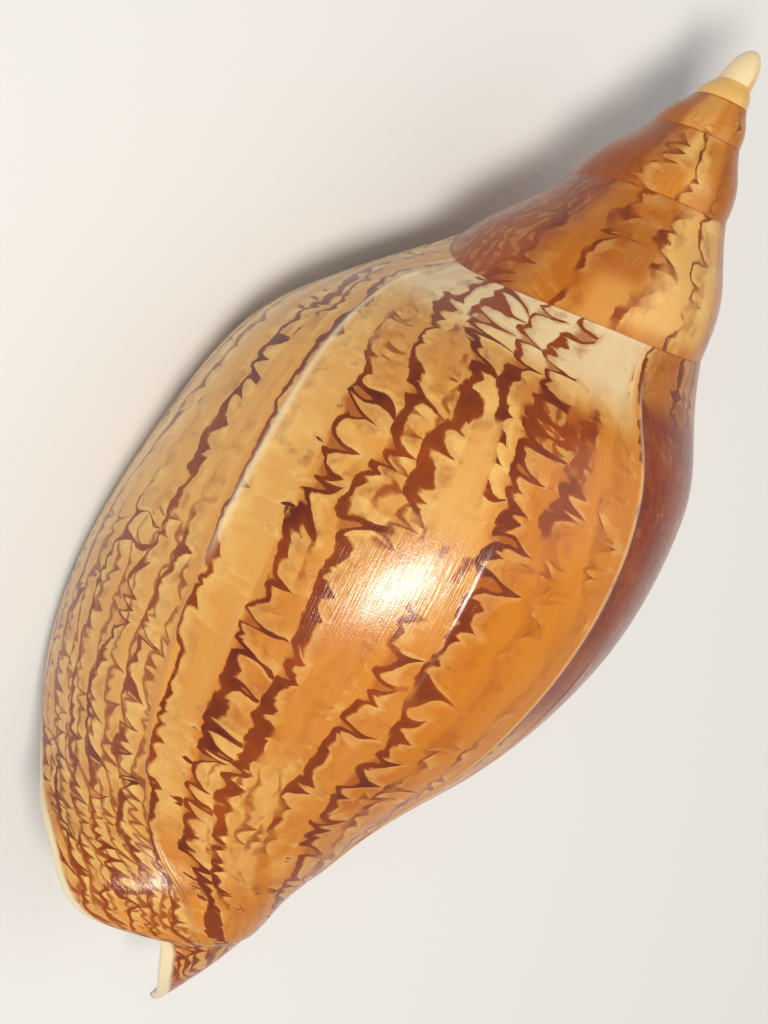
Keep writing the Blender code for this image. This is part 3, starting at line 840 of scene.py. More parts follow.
@dataclass(frozen=True)
class MarkLayout:
    """Where the dark bands lie."""

    knots: tuple[float, ...] = (0.05, 0.15, 0.25, 0.35, 0.45, 0.55, 0.65, 0.75)
    back: tuple[Mark, ...] = (
        Mark((0.045, 0.05, 0.06, 0.05, 0.035, 0.035, 0.03, 0.02), (0.6, 0.6, 0.8, 0.9, 0.7, 0.8, 0.8, 0.9),
             (0.9, 0.8, 0.9, 0.9, 0.7, 0.8, 0.7, 0.6), 2.0),
        Mark((0.07, 0.075, 0.08, 0.075, 0.065, 0.06, 0.055, 0.04), (0.5, 0.5, 0.5, 0.5, 0.8, 0.8, 0.8, 0.8),
             (0.5, 0.4, 0.1, 0.3, 0.6, 0.6, 0.6, 0.5), 3.0),
        Mark((0.09, 0.1, 0.1, 0.1, 0.1, 0.085, 0.075, 0.06), (0.5, 2.2, 1.6, 2.0, 0.8, 0.9, 1.0, 1.0),
             (0.5, 0.8, 0.85, 0.85, 0.6, 0.6, 0.6, 0.6), 4.0),
        Mark((0.112, 0.118, 0.122, 0.122, 0.12, 0.115, 0.11, 0.095), (0.5, 1.0, 0.5, 0.5, 0.8, 0.8, 0.8, 0.8),
             (0.2, 0.6, 0.1, 0.3, 0.6, 0.6, 0.6, 0.5), 3.0),
        Mark((0.13, 0.135, 0.137, 0.139, 0.143, 0.15, 0.142, 0.128), (0.6, 1.6, 1.5, 1.3, 0.9, 0.7, 0.8, 0.9),
             (0.4, 0.85, 0.95, 0.95, 0.6, 0.6, 0.7, 0.75), 1.2),
        Mark((0.165, 0.172, 0.178, 0.182, 0.181, 0.183, 0.178, 0.178),
             (0.3, 0.5, 1.3, 2.2, 1.0, 2.8, 0.9, 2.2), (0.15, 0.45, 0.95, 1.0, 0.85, 0.95, 0.9, 0.95), 5.5),
        Mark((0.195, 0.2, 0.209, 0.207, 0.215, 0.214, 0.205, 0.2), (1.2, 1.0, 2.6, 2.4, 3.2, 3.4, 1.5, 0.6),
             (0.8, 0.6, 0.7, 0.7, 0.65, 0.65, 0.6, 0.4), 4.0),
        Mark((0.217, 0.245, 0.236, 0.242, 0.24, 0.237, 0.23, 0.225), (0.9, 2.4, 2.2, 1.0, 0.5, 0.5, 0.5, 0.5),
             (0.75, 0.85, 0.9, 0.4, 0.15, 0.3, 0.3, 0.3), 4.0),
        Mark((0.262, 0.27, 0.262, 0.262, 0.266, 0.262, 0.255, 0.25), (0.8, 2.2, 0.4, 0.4, 1.6, 2.2, 1.0, 0.6),
             (0.7, 0.8, 0.1, 0.1, 0.6, 0.65, 0.4, 0.3), 4.0),
        Mark((0.30, 0.287, 0.286, 0.296, 0.293, 0.298, 0.305, 0.30), (1.3, 2.2, 2.6, 2.6, 1.2, 2.2, 1.8, 1.5),
             (0.9, 0.85, 0.95, 0.8, 0.5, 0.75, 0.7, 0.6), 6.0),
        Mark((0.345, 0.33, 0.32, 0.335, 0.335, 0.335, 0.34, 0.34), (0.5, 5.0, 1.8, 0.8, 0.8, 1.5, 1.2, 1.0),
             (0.0, 0.5, 0.5, 0.3, 0.35, 0.45, 0.5, 0.4), 5.0),
        Mark((0.375, 0.36, 0.358, 0.37, 0.37, 0.37, 0.375, 0.38), (0.5, 0.6, 1.0, 0.8, 0.6, 1.0, 1.0, 1.0),
             (0.1, 0.3, 0.45, 0.2, 0.3, 0.5, 0.5, 0.5), 4.0),
        Mark((0.392, 0.399, 0.401, 0.402, 0.402, 0.4, 0.4, 0.4), (1.2, 1.8, 1.8, 1.2, 1.0, 1.0, 1.0, 1.0),
             (0.7, 0.75, 0.85, 0.8, 0.7, 0.6, 0.6, 0.6), 1.0),
    )
    spire: tuple[tuple[float, float, float], ...] = (
        (1.08, 1.2, 0.55), (1.13, 1.0, 0.5), (1.195, 0.7, 0.65), (1.26, 1.2, 0.5), (1.335, 2.2, 0.42),
        (1.405, 0.4, 0.5), (1.5, 1.0, 0.4), (2.06, 0.8, 0.3), (2.14, 0.4, 0.3), (2.225, 1.2, 0.42),
        (2.325, 0.3, 0.5), (2.41, 0.7, 0.42), (2.5, 0.5, 0.3),
    )
    side_step: float = 0.042
    wide_cell: float = 4.5
    narrow_cell: float = 3.1
    small_bands: float = 60.0
    back_length: float = 283.0
    shrink: float = 0.8
    shrink_from: float = 0.4
    older_spread: float = 0.4
    seed: int = 7

    def bands(self) -> tuple[Array, Array, Array, Array]:
        """All bands from the lip to the apex.

        Returns:
            Lines, widths and inks at the knots, and the spike length of each band.
        """
        chance = np.random.default_rng(self.seed)
        count = len(self.knots)
        lines = [mark.line for mark in self.back]
        widths = [mark.width for mark in self.back]
        inks = [mark.ink for mark in self.back]
        spikes = [mark.spike for mark in self.back]
        given = {round(n, 3): (width, ink) for n, width, ink in self.spire}
        place = 0.44
        while place < 6.4:
            near = [n for n in given if place - self.side_step * 0.4 <= n < place + self.side_step * 1.8]
            if near:
                n = near[0]
                width, ink = given.pop(n)
                lines.append((n,) * count)
                widths.append((width,) * count)
                inks.append((ink,) * count)
            else:
                n = place + float(chance.uniform(-0.006, 0.006))
                size = self.size_at(n)
                bend = chance.uniform(-0.006, 0.006, count)
                lines.append(tuple(n + bend))
                widths.append(tuple(chance.uniform(0.5, 2.6, count) * size))
                inks.append(tuple(chance.uniform(0.35, 0.9, count) * (1.0 if n < 1.0 else 0.45)))
            spikes.append(float(chance.uniform(3.0, 6.5)) * self.size_at(n))
            place = n + self.side_step * (1.0 if n < 1.0 else 1.35)
        return np.array(lines), np.array(widths), np.array(inks), np.array(spikes)

    def size_at(self, n: float) -> float:
        """Size of a mark compared with one at the lip."""
        return float(Growth.per_turn ** -(self.shrink * max(0.0, n - self.shrink_from)))

    def cell(self, t: Array) -> Array:
        """Spacing of the spikes in millimetres on the last whorl."""
        return self.wide_cell + (self.narrow_cell - self.wide_cell) * ease((t - 0.28) / 0.24)

    def read(self, growth: Growth, n: Array, t: Array) -> dict[str, Array]:
        """Layout of the bands at places on the shell.

        Args:
            growth: Spiral rule.
            n: Turns back from the lip.
            t: Lip coordinates.

        Returns:
            Vectors for each place: ribbon is the band number, the spike count from the suture and the gap to
            the next band; looks is the band's width, spike length and ink; grain is the spike spacing,
            millimetres back from the lip and millimetres along it; fine is the number and gap of the
            small bands and how far the pole is kept plain.
        """
        lines, widths, inks, spikes = self.bands()
        knots = np.array(self.knots)
        low = np.clip(np.searchsorted(knots, t) - 1, 0, len(knots) - 2)
        part = ease((t - knots[low]) / (knots[low + 1] - knots[low]))
        at = [table[:, low] * (1.0 - part) + table[:, low + 1] * part for table in (lines, widths, inks)]
        k = np.clip(np.sum(at[0] <= n, axis=0) - 1, 0, len(lines) - 3)
        column = np.arange(len(n))
        here, after, beyond = (at[0][k + i, column] for i in range(3))
        share = (n - here) / np.maximum(after - here, 1e-4)
        turn_over = ease((share - 0.6) / 0.25)
        gap_turns = np.maximum(after - here, 1e-4) * (1.0 - turn_over) + (beyond - after) * turn_over
        scale = growth.per_turn ** -n
        _, radius = growth.outer(np.minimum(n, 5.2), np.clip(t, 0.0, growth.covered + (n < 1.0) * 1.0))
        around = 2.0 * math.pi * np.maximum(radius, 1.0)
        places = np.linspace(0.0, 1.0, 201)
        middles = self.cell(places[1:] - 0.0025)
        counts = np.concatenate([[0.0], np.cumsum(growth.lip_length / 200.0 / middles)])
        older = ease((n - 0.9) / 0.2)
        wider = 1.0 - self.older_spread * older
        teeth = np.interp(t, places, counts) * scale ** 0.3 * wider
        looks = [table[k, column] * (1.0 - turn_over) + table[k + 1, column] * turn_over for table in at[1:]]
        spike = spikes[k] * (1.0 - turn_over) + spikes[k + 1] * turn_over
        back = self.back_length * (1.0 - scale) / growth.log_growth
        return {
            "ribbon": np.stack([k + share, teeth, gap_turns * around], 1),
            "looks": np.stack([looks[0], spike, looks[1]], 1),
            "grain": np.stack([self.cell(t) * scale ** 0.7 / wider, back, t * growth.lip_length * scale], 1),
            "fine": np.stack([n * self.small_bands, around / self.small_bands, ease((n - 3.75) / 0.3)], 1),
        }


@dataclass(frozen=True)
class Patch:
    """A soft-edged area from n0 to n1 and from t0 to t1, with its cream, red and small-mark shares."""

    n0: float
    n1: float
    t0: float
    t1: float
    cream: float
    red: float
    mottle: float = 0.35
    soft_n: float = 0.02
    soft_t: float = 0.03

    def cover(self, n: Array, t: Array) -> Array:
        """How far the patch covers each place, from 0 to 1.

        Args:
            n: Turns back from the lip.
            t: Lip coordinates.

        Returns:
            One share for each place.
        """
        across = ease((n - self.n0) / self.soft_n + 0.5) * ease((self.n1 - n) / self.soft_n + 0.5)
        along = ease((t - self.t0) / self.soft_t + 0.5) * ease((self.t1 - t) / self.soft_t + 0.5)
        return across * along


@dataclass(frozen=True)
class GroundLayout:
    """Cream and red areas of the shell's ground colour."""

    cream: float = 0.1
    red: float = 0.05
    mottle: float = 0.4
    patches: tuple[Patch, ...] = (
        Patch(-0.1, 0.14, -1.0, 0.62, 0.5, 0.0, 0.25, 0.02, 0.2),
        Patch(-0.1, 0.08, -1.0, 0.5, 0.7, 0.0, 0.25, 0.03, 0.1),
        Patch(0.02, 0.138, 0.44, 0.8, 0.45, 0.0, 0.95, 0.02, 0.08),
        Patch(0.143, 0.18, 0.05, 0.5, 0.5, 0.0, 0.05, 0.006, 0.1),
        Patch(0.143, 0.178, 0.45, 0.66, 0.3, 0.0, 0.15, 0.006, 0.1),
        Patch(0.18, 0.30, 0.08, 0.42, 0.3, 0.0, 0.5, 0.02, 0.06),
        Patch(0.245, 0.285, 0.15, 0.33, 0.5, 0.0, 0.2, 0.015, 0.05),
        Patch(0.19, 0.26, 0.56, 0.7, 0.4, 0.0, 0.5, 0.02, 0.05),
        Patch(0.30, 0.40, 0.12, 0.6, 0.0, 0.06, 0.45, 0.03, 0.05),
        Patch(0.30, 0.345, 0.1, 0.2, 0.0, 0.35, 0.7, 0.02, 0.04),
        Patch(0.355, 0.397, 0.1, 0.6, 0.05, 0.0, 0.05, 0.02, 0.05),
        Patch(0.13, 0.388, -1.0, 0.095, 0.8, 0.0, 0.12, 0.02, 0.035),
        Patch(0.31, 0.39, -1.0, 0.11, 0.65, 0.0, 0.0, 0.02, 0.04),
        Patch(0.40, 0.60, 0.05, 0.47, 0.0, 1.0, 0.5, 0.006, 0.08),
        Patch(0.40, 0.60, -1.0, 0.06, 0.05, 0.3, 0.4, 0.006, 0.05),
        Patch(0.64, 0.74, -1.0, 0.5, 0.4, 0.0, 0.3, 0.04, 0.1),
        Patch(0.84, 0.95, -1.0, 0.5, 0.1, 0.4, 0.5, 0.04, 0.1),
        Patch(1.0, 1.25, -1.0, 1.0, 0.0, 0.8, 0.7, 0.05, 0.1),
        Patch(1.22, 1.345, -1.0, 1.0, 0.0, 0.3, 0.2, 0.04, 0.06),
        Patch(1.29, 1.34, 0.22, 1.0, 0.25, 0.0, 0.1, 0.03, 0.05),
        Patch(1.35, 1.47, 0.0, 0.3, 0.62, 0.0, 0.15, 0.03, 0.05),
        Patch(1.49, 1.70, -1.0, 1.0, 0.1, 0.35, 0.4, 0.05, 0.1),
        Patch(2.0, 2.235, -1.0, 1.0, 0.0, 0.75, 0.2, 0.04, 0.06),
        Patch(2.285, 2.32, -1.0, 0.14, 0.6, 0.0, 0.1, 0.02, 0.06),
        Patch(2.325, 2.36, 0.1, 0.25, 0.5, 0.0, 0.1, 0.02, 0.05),
        Patch(2.40, 2.6, -1.0, 1.0, 0.0, 0.35, 0.3, 0.04, 0.06),
        Patch(3.0, 3.22, -1.0, 1.0, 0.0, 0.45, 0.1, 0.05, 0.06),
        Patch(3.22, 3.32, -1.0, 1.0, 0.35, 0.0, 0.1, 0.03, 0.06),
        Patch(3.40, 3.55, -1.0, 1.0, 0.1, 0.3, 0.2, 0.04, 0.06),
        Patch(3.9, 9.0, -1.0, 2.0, 0.75, 0.0, 0.0, 0.5, 0.1),
        Patch(4.6, 9.0, -1.0, 2.0, 1.0, 0.0, 0.0, 0.4, 0.1),
    )
    strip: Patch = Patch(0.135, 0.385, -1.0, 0.085, 0.0, 0.0, 0.0, 0.03, 0.05)
    strip_paleness: float = 0.62
    margin: tuple[tuple[float, float], ...] = (
        (0.0, 0.0035), (0.6, 0.004), (0.74, 0.008), (0.81, 0.012), (0.9, 0.022), (1.0, 0.03))

    def read(self, n: Array, t: Array, side: Array, lines: tuple[GrowthLine, ...]) -> dict[str, Array]:
        """Ground and mouth shares at places on the shell.

        Args:
            n: Turns back from the lip.
            t: Lip coordinates.
            side: Values of Side.
            lines: Raised growth lines, which are paler than the ground.

        Returns:
            Vectors for each place: ground is the cream, red and small-mark share; skin is the mouth share,
            the paleness of the growth lines and the whiteness of the strip beside the suture.
        """
        shares = np.tile([self.cream, self.red, self.mottle], (len(n), 1))
        for patch in self.patches:
            target = np.array([patch.cream, patch.red, patch.mottle])
            shares += (target - shares) * patch.cover(n, t)[:, None]
        edge = np.interp(t, *zip(*self.margin))
        mouth = np.maximum(side, 0.5 * ease(1.4 - n / edge))
        pale = np.zeros(len(n))
        for line in lines:
            window = ease((t - line.start) / 0.05) * ease((line.pale_end - t) / 0.06)
            pale = np.maximum(pale, line.paleness * np.exp(-((n - line.n) / line.half_width) ** 2) * window)
        pale = np.maximum(pale, 0.8 * ease((n - 4.35) / 0.5))
        white = self.strip_paleness * self.strip.cover(n, t)
        return {"ground": shares, "skin": np.stack([mouth, pale, white], 1)}


class Value:
    """A number socket that takes part in arithmetic."""

    def __init__(self, tree: "Tree", socket: bpy.types.NodeSocket) -> None:
        """Wraps a socket of a tree."""
        self.tree = tree
        self.socket = socket

    def __add__(self, other: "Value | float") -> "Value":
        """Sum."""
        return self.tree.math("ADD", self, other)

    __radd__ = __add__

    def __sub__(self, other: "Value | float") -> "Value":
        """Difference."""
        return self.tree.math("SUBTRACT", self, other)

    def __rsub__(self, other: float) -> "Value":
        """Difference from a number."""
        return self.tree.math("SUBTRACT", other, self)

    def __mul__(self, other: "Value | float") -> "Value":
        """Product."""
        return self.tree.math("MULTIPLY", self, other)

    __rmul__ = __mul__

    def __truediv__(self, other: "Value | float") -> "Value":
        """Quotient."""
        return self.tree.math("DIVIDE", self, other)

    def __pow__(self, other: float) -> "Value":
        """Power."""
        return self.tree.math("POWER", self, other)

    def __abs__(self) -> "Value":
        """Size without sign."""
        return self.tree.math("ABSOLUTE", self)

    def floor(self) -> "Value":
        """Whole number below."""
        return self.tree.math("FLOOR", self)

    def clamp(self) -> "Value":
        """Value kept between 0 and 1."""
        return self.tree.math("ADD", self, 0.0, clamp=True)

    def smooth(self, low: float, high: float) -> "Value":
        """Smooth step between two values.

        Args:
            low: Where it starts to rise.
            high: Where it is full.

        Returns:
            A value from 0 to 1.
        """
        node = self.tree.node("ShaderNodeMapRange", {"interpolation_type": "SMOOTHSTEP"},
                              {"Value": self, "From Min": low, "From Max": high})
        return Value(self.tree, node.outputs[0])

    def at_least(self, other: "Value | float") -> "Value":
        """The larger of two values."""
        return self.tree.math("MAXIMUM", self, other)


class Tree:
    """Adds nodes to a shader or geometry tree."""

    def __init__(self, tree: bpy.types.NodeTree) -> None:
        """Wraps an empty node tree."""
        self.tree = tree

    def node(self, kind: str, settings: dict[str, object] | None = None,
             inputs: dict[str, object] | None = None) -> bpy.types.Node:
        """Adds a node.

        Args:
            kind: Node type.
            settings: Properties that are set first.
            inputs: Values or links for sockets, by identifier or name.

        Returns:
            The new node.
        """
        node = self.tree.nodes.new(kind)
        for name, value in (settings or {}).items():
            setattr(node, name, value)
        for name, value in (inputs or {}).items():
            socket = next((s for s in node.inputs if s.identifier == name), None) or node.inputs[name]
            source = value.socket if isinstance(value, Value) else value
            if isinstance(source, bpy.types.NodeSocket):
                self.tree.links.new(source, socket)
            else:
                socket.default_value = source
        return node

    def math(self, operation: str, *values: "Value | float", clamp: bool = False) -> Value:
        """Adds one Math node.

        Args:
            operation: Blender's name of the operation.
            values: Values or numbers for its inputs.
            clamp: Whether the result stays between 0 and 1.

        Returns:
            Its result.
        """
        node = self.tree.nodes.new("ShaderNodeMath")
        node.operation = operation
        node.use_clamp = clamp
        for socket, value in zip(node.inputs, values):
            if isinstance(value, Value):
                self.tree.links.new(value.socket, socket)
            else:
                socket.default_value = float(value)
        return Value(self, node.outputs[0])

    def vector(self, x: "Value | float", y: "Value | float",
               z: "Value | float" = 0.0) -> bpy.types.NodeSocket:
        """Three values as a vector."""
        return self.node("ShaderNodeCombineXYZ", inputs={"X": x, "Y": y, "Z": z}).outputs[0]

    def split(self, vector: bpy.types.NodeSocket) -> tuple[Value, Value, Value]:
        """The three values of a vector."""
        node = self.node("ShaderNodeSeparateXYZ", inputs={"Vector": vector})
        return tuple(Value(self, socket) for socket in node.outputs)

    def attribute(self, name: str) -> bpy.types.NodeSocket:
        """Vector attribute of the surface."""
        return self.node("ShaderNodeAttribute", {"attribute_name": name}).outputs["Vector"]

    def noise(self, vector: bpy.types.NodeSocket, scale: float, detail: float = 2.0,
              roughness: float = 0.5) -> Value:
        """Smooth noise around 0.5.

        Args:
            vector: Where the noise is read.
            scale: Cells in a unit.
            detail: Detail of the noise.
            roughness: Strength of the detail.

        Returns:
            Noise value.
        """
        node = self.node("ShaderNodeTexNoise", {"noise_dimensions": "3D"},
                         {"Vector": vector, "Scale": scale, "Detail": detail, "Roughness": roughness})
        return Value(self, node.outputs["Fac"])

    def stretched(self, back: Value, along: Value, scale: tuple[float, float], layer: float, detail: float,
                  roughness: float = 0.5) -> Value:
        """Noise drawn out along the growth lines.

        Args:
            back: Millimetres back from the lip.
            along: Millimetres along the lip.
            scale: Noise cells in a millimetre, back and along.
            layer: Level of the noise, which gives each use its own pattern.
            detail: Detail of the noise.
            roughness: Strength of the detail.

        Returns:
            Smooth noise around 0.5.
        """
        return self.noise(self.vector(back * scale[0], along * scale[1], layer), 1.0, detail, roughness)

    def chance(self, x: Value, y: Value) -> tuple[Value, Value, Value]:
        """Three random values for a pair of whole numbers."""
        node = self.node("ShaderNodeTexWhiteNoise", {"noise_dimensions": "2D"}, {"Vector": self.vector(x, y)})
        return self.split(node.outputs["Color"])

    def mix(self, factor: "Value | float", first: object, second: object) -> bpy.types.NodeSocket:
        """Colour between two colours.

        Args:
            factor: Share of the second.
            first: Colour or socket.
            second: Colour or socket.

        Returns:
            Colour socket.
        """
        node = self.node("ShaderNodeMix", {"data_type": "RGBA", "clamp_factor": True},
                         {"Factor_Float": factor, "A_Color": first, "B_Color": second})
        return next(s for s in node.outputs if s.identifier == "Result_Color")


@dataclass
class Cover:
    """Layers of one set of bands: ink, soft stain, pale halo and millimetres inside the ink's edge."""

    ink: Value
    stain: Value
    halo: Value
    inside: Value


@dataclass(frozen=True)
class ShellFinish:
    """Polished shell with axial dark bands. Sizes are in millimetres on the last whorl."""

    orange: Colour = (0.62, 0.215, 0.012, 1.0)
    deep_orange: Colour = (0.42, 0.085, 0.003, 1.0)
    cream: Colour = (0.82, 0.52, 0.160, 1.0)
    red: Colour = (0.21, 0.020, 0.001, 1.0)
    ink: Colour = (0.115, 0.013, 0.002, 1.0)
    stain: Colour = (0.31, 0.054, 0.002, 1.0)
    scar: Colour = (0.84, 0.68, 0.42, 1.0)
    strip: Colour = (0.82, 0.68, 0.45, 1.0)
    lip: Colour = (0.80, 0.66, 0.42, 1.0)
    hollow: Colour = (0.74, 0.44, 0.22, 1.0)
    wander: float = 4.2
    small_wander: float = 7.5
    small_blur: float = 1.7
    small_shift: float = 17.0
    jitter: float = 1.3
    halo: float = 5.0
    streak_scale: tuple[float, float] = (2.6, 0.09)
    broad_scale: tuple[float, float] = (0.16, 0.03)
    patchy_scale: tuple[float, float] = (0.09, 0.10)
    fine_scale: tuple[float, float] = (5.0, 0.4)
    cloud_scale: float = 90.0
    grit_scale: float = 2400.0
    least_roughness: float = 0.08
    ior: float = 1.47
    coat: float = 0.1
    coat_roughness: float = 0.08
    bump_strength: float = 0.5
    bump_depth: float = 0.00016

    def build(self) -> bpy.types.Material:
        """Makes the material.

        Returns:
            A material that reads the attributes ribbon, looks, grain, fine, ground and skin.
        """
        material = bpy.data.materials.new("polished_shell")
        material.use_nodes = True
        material.node_tree.nodes.clear()
        tree = Tree(material.node_tree)
        place = tree.node("ShaderNodeTexCoord").outputs["Object"]
        cell, back, along = tree.split(tree.attribute("grain"))
        number, teeth, gap = tree.split(tree.attribute("ribbon"))
        width, spike, strength = tree.split(tree.attribute("looks"))
        small_number, small_gap, plain = tree.split(tree.attribute("fine"))
        cream, red, mottle = tree.split(tree.attribute("ground"))
        mouth, scar, white = tree.split(tree.attribute("skin"))
        streak = tree.stretched(back, along, self.streak_scale, 0.0, 3.0, 0.6)
        broad = tree.stretched(back, along, self.broad_scale, 3.0, 2.0)
        cloud = tree.noise(place, self.cloud_scale, 3.0, 0.55)
        patchy = tree.stretched(back, along, self.patchy_scale, 7.0, 1.0)
        ragged = (streak - 0.5) * 1.3
        strength = strength * (1.0 - plain)
        marks = self.bands(tree, place, (number, teeth, gap), (width, spike, strength), cell, ragged,
                           self.wander, 0.0, 1.0)
        small_looks = (cell * 0.25, cell * 0.75, (mottle * 1.6 - patchy * 1.15 + 0.15).clamp())
        small = self.bands(tree, place, (small_number, teeth * 1.3, small_gap), small_looks, cell * 0.7,
                           ragged, self.small_wander, self.small_shift, self.small_blur)
        deepen = (broad * 0.9 + cloud * 0.5 - 0.4).clamp()
        ground = tree.mix(deepen, self.orange, self.deep_orange)
        ground = tree.mix((red + (cloud - 0.5) * 0.8 * red).clamp(), ground, self.red)
        paler = (cream + marks.halo * (0.55 - red * 0.6) + small.halo * 0.25 + (broad - 0.5) * 0.3).clamp()
        ground = tree.mix(paler, ground, self.cream)
        ground = tree.mix((white + (broad - 0.5) * white).clamp(), ground, self.strip)
        ground = tree.mix(marks.stain.at_least(small.stain * 0.8) * 0.75, ground, self.stain)
        deep = (strength * 0.62 + marks.inside * 0.1 + (cloud - 0.5) * 2.2).clamp()
        inked = tree.mix(deep * (1.0 - white * 0.9), self.stain, self.ink)
        small_colour = tree.mix((mottle * 0.3 + (cloud - 0.5) * 1.8).clamp(), self.stain, self.ink)
        outside = tree.mix(small.ink * 0.85, ground, small_colour)
        outside = tree.mix(marks.ink, outside, inked)
        outside = tree.mix((streak - 0.5).at_least(0.0) * 0.35 * (1.0 - marks.ink * 0.8), outside, self.cream)
        outside = tree.mix(scar, outside, self.scar)
        # Thin dark line along the upper suture: painted shade of the small step where one whorl meets the
        # next
        outside = tree.mix(along.smooth(0.45, 0.1) * 0.7 * (1.0 - plain), outside, self.stain)
        inside = tree.mix((mouth * 2.0 - 1.0).clamp(), self.lip, self.hollow)
        colour = tree.mix(mouth.smooth(0.05, 0.4), outside, inside)
        fine = tree.stretched(back, along, self.fine_scale, 1.0, 2.0)
        grit = tree.noise(place, self.grit_scale, 2.0, 0.6)
        rough = tree.noise(place, 60.0, 3.0) * 0.12 + streak * 0.1 + self.least_roughness
        relief = (streak * 0.8 + fine * 0.35 + broad * 0.5) * (1.0 - plain) + grit * 0.22
        bump = tree.node("ShaderNodeBump", inputs={
            "Strength": self.bump_strength, "Distance": self.bump_depth, "Height": relief})
        surface = tree.node("ShaderNodeBsdfPrincipled", inputs={
            "Base Color": colour, "Roughness": rough, "Normal": bump.outputs[0],
            "IOR": self.ior, "Coat Weight": self.coat, "Coat Roughness": self.coat_roughness})
        tree.node("ShaderNodeOutputMaterial", inputs={"Surface": surface.outputs[0]})
        return material

    def bands(self, tree: Tree, place: bpy.types.NodeSocket, ribbon: tuple[Value, Value, Value],
              looks: tuple[Value, Value, Value], cell: Value, ragged: Value, wander: float,
              shift: float, blur: float) -> Cover:
        """Dark bands with spikes that point to the older shell and notches that follow them.

        Args:
            tree: Shader tree.
            place: Object coordinates.
            ribbon: Band number, spike count and gap to the next band.
            looks: Width, spike length and strength.
            cell: Spacing of the spikes.
            ragged: Millimetres that the growth lines add to the edges.
            wander: Millimetres that a band strays from its line.
            shift: Offset that gives each set of bands its own chances.
            blur: Softness of the ink's edge, 1 for a crisp one.

        Returns:
            Cover of each layer.
        """
        number, teeth, gap = ribbon
        width, spike, strength = looks
        size = cell / 4.5
        moved_place = tree.node("ShaderNodeVectorMath", {"operation": "ADD"},
                                {"Vector": place, "Vector_001": (shift, 0.0, 0.0)}).outputs[0]
        drift = (tree.noise(moved_place, 120.0, 1.0) - 0.5) * (2.0 * wander)
        shake = (tree.noise(moved_place, 420.0, 2.0) - 0.5) * (2.0 * self.jitter)
        moved = number + (drift + shake) * size / gap
        band = moved.floor()
        beyond = (moved - band) * gap
        uneven = (tree.noise(moved_place, 85.0, 1.0) - 0.5) * 3.0
        start = teeth + uneven + band * 7.31
        step = (start + 0.5).floor()
        chance, slope, third = tree.chance(step, band + shift)
        q = abs(start - step + beyond / cell * (slope - 0.5) * 0.7) * 2.0
        tooth = (1.0 - q * 1.05).at_least(0.0) ** 1.8
        reach = spike * (chance * chance * 1.5 + 0.15) * tooth
        notch = tree.noise(moved_place, 150.0, 1.0).smooth(0.4, 0.62) * 0.75 + 0.1
        breadth = width * (0.35 + third * 0.7) + 0.35 * size
        far = breadth + reach - beyond
        near = beyond - reach * notch + 0.1
        inside = tree.math("MINIMUM", far, near) + ragged * size
        gate = (strength * 1.7 - tree.noise(moved_place, 200.0, 2.0) * 1.2).smooth(0.0, 0.3)
        cover = inside.smooth(-0.28 * blur, 0.3 * blur)
        halo = (1.0 + far / (self.halo * size * (0.5 + chance))).clamp() * far.smooth(0.3, -0.5) * gate
        smoke = tree.noise(moved_place, 260.0, 3.0, 0.6)
        smear = ((smoke - 0.38) * 13.0 * size + far).smooth(-2.0, 1.6)
        stain = smear * beyond.smooth(0.0, 1.6) * (strength * 1.3).clamp()
        return Cover(cover * gate, stain * (1.0 - halo * 0.6), halo * (1.0 - cover), inside)


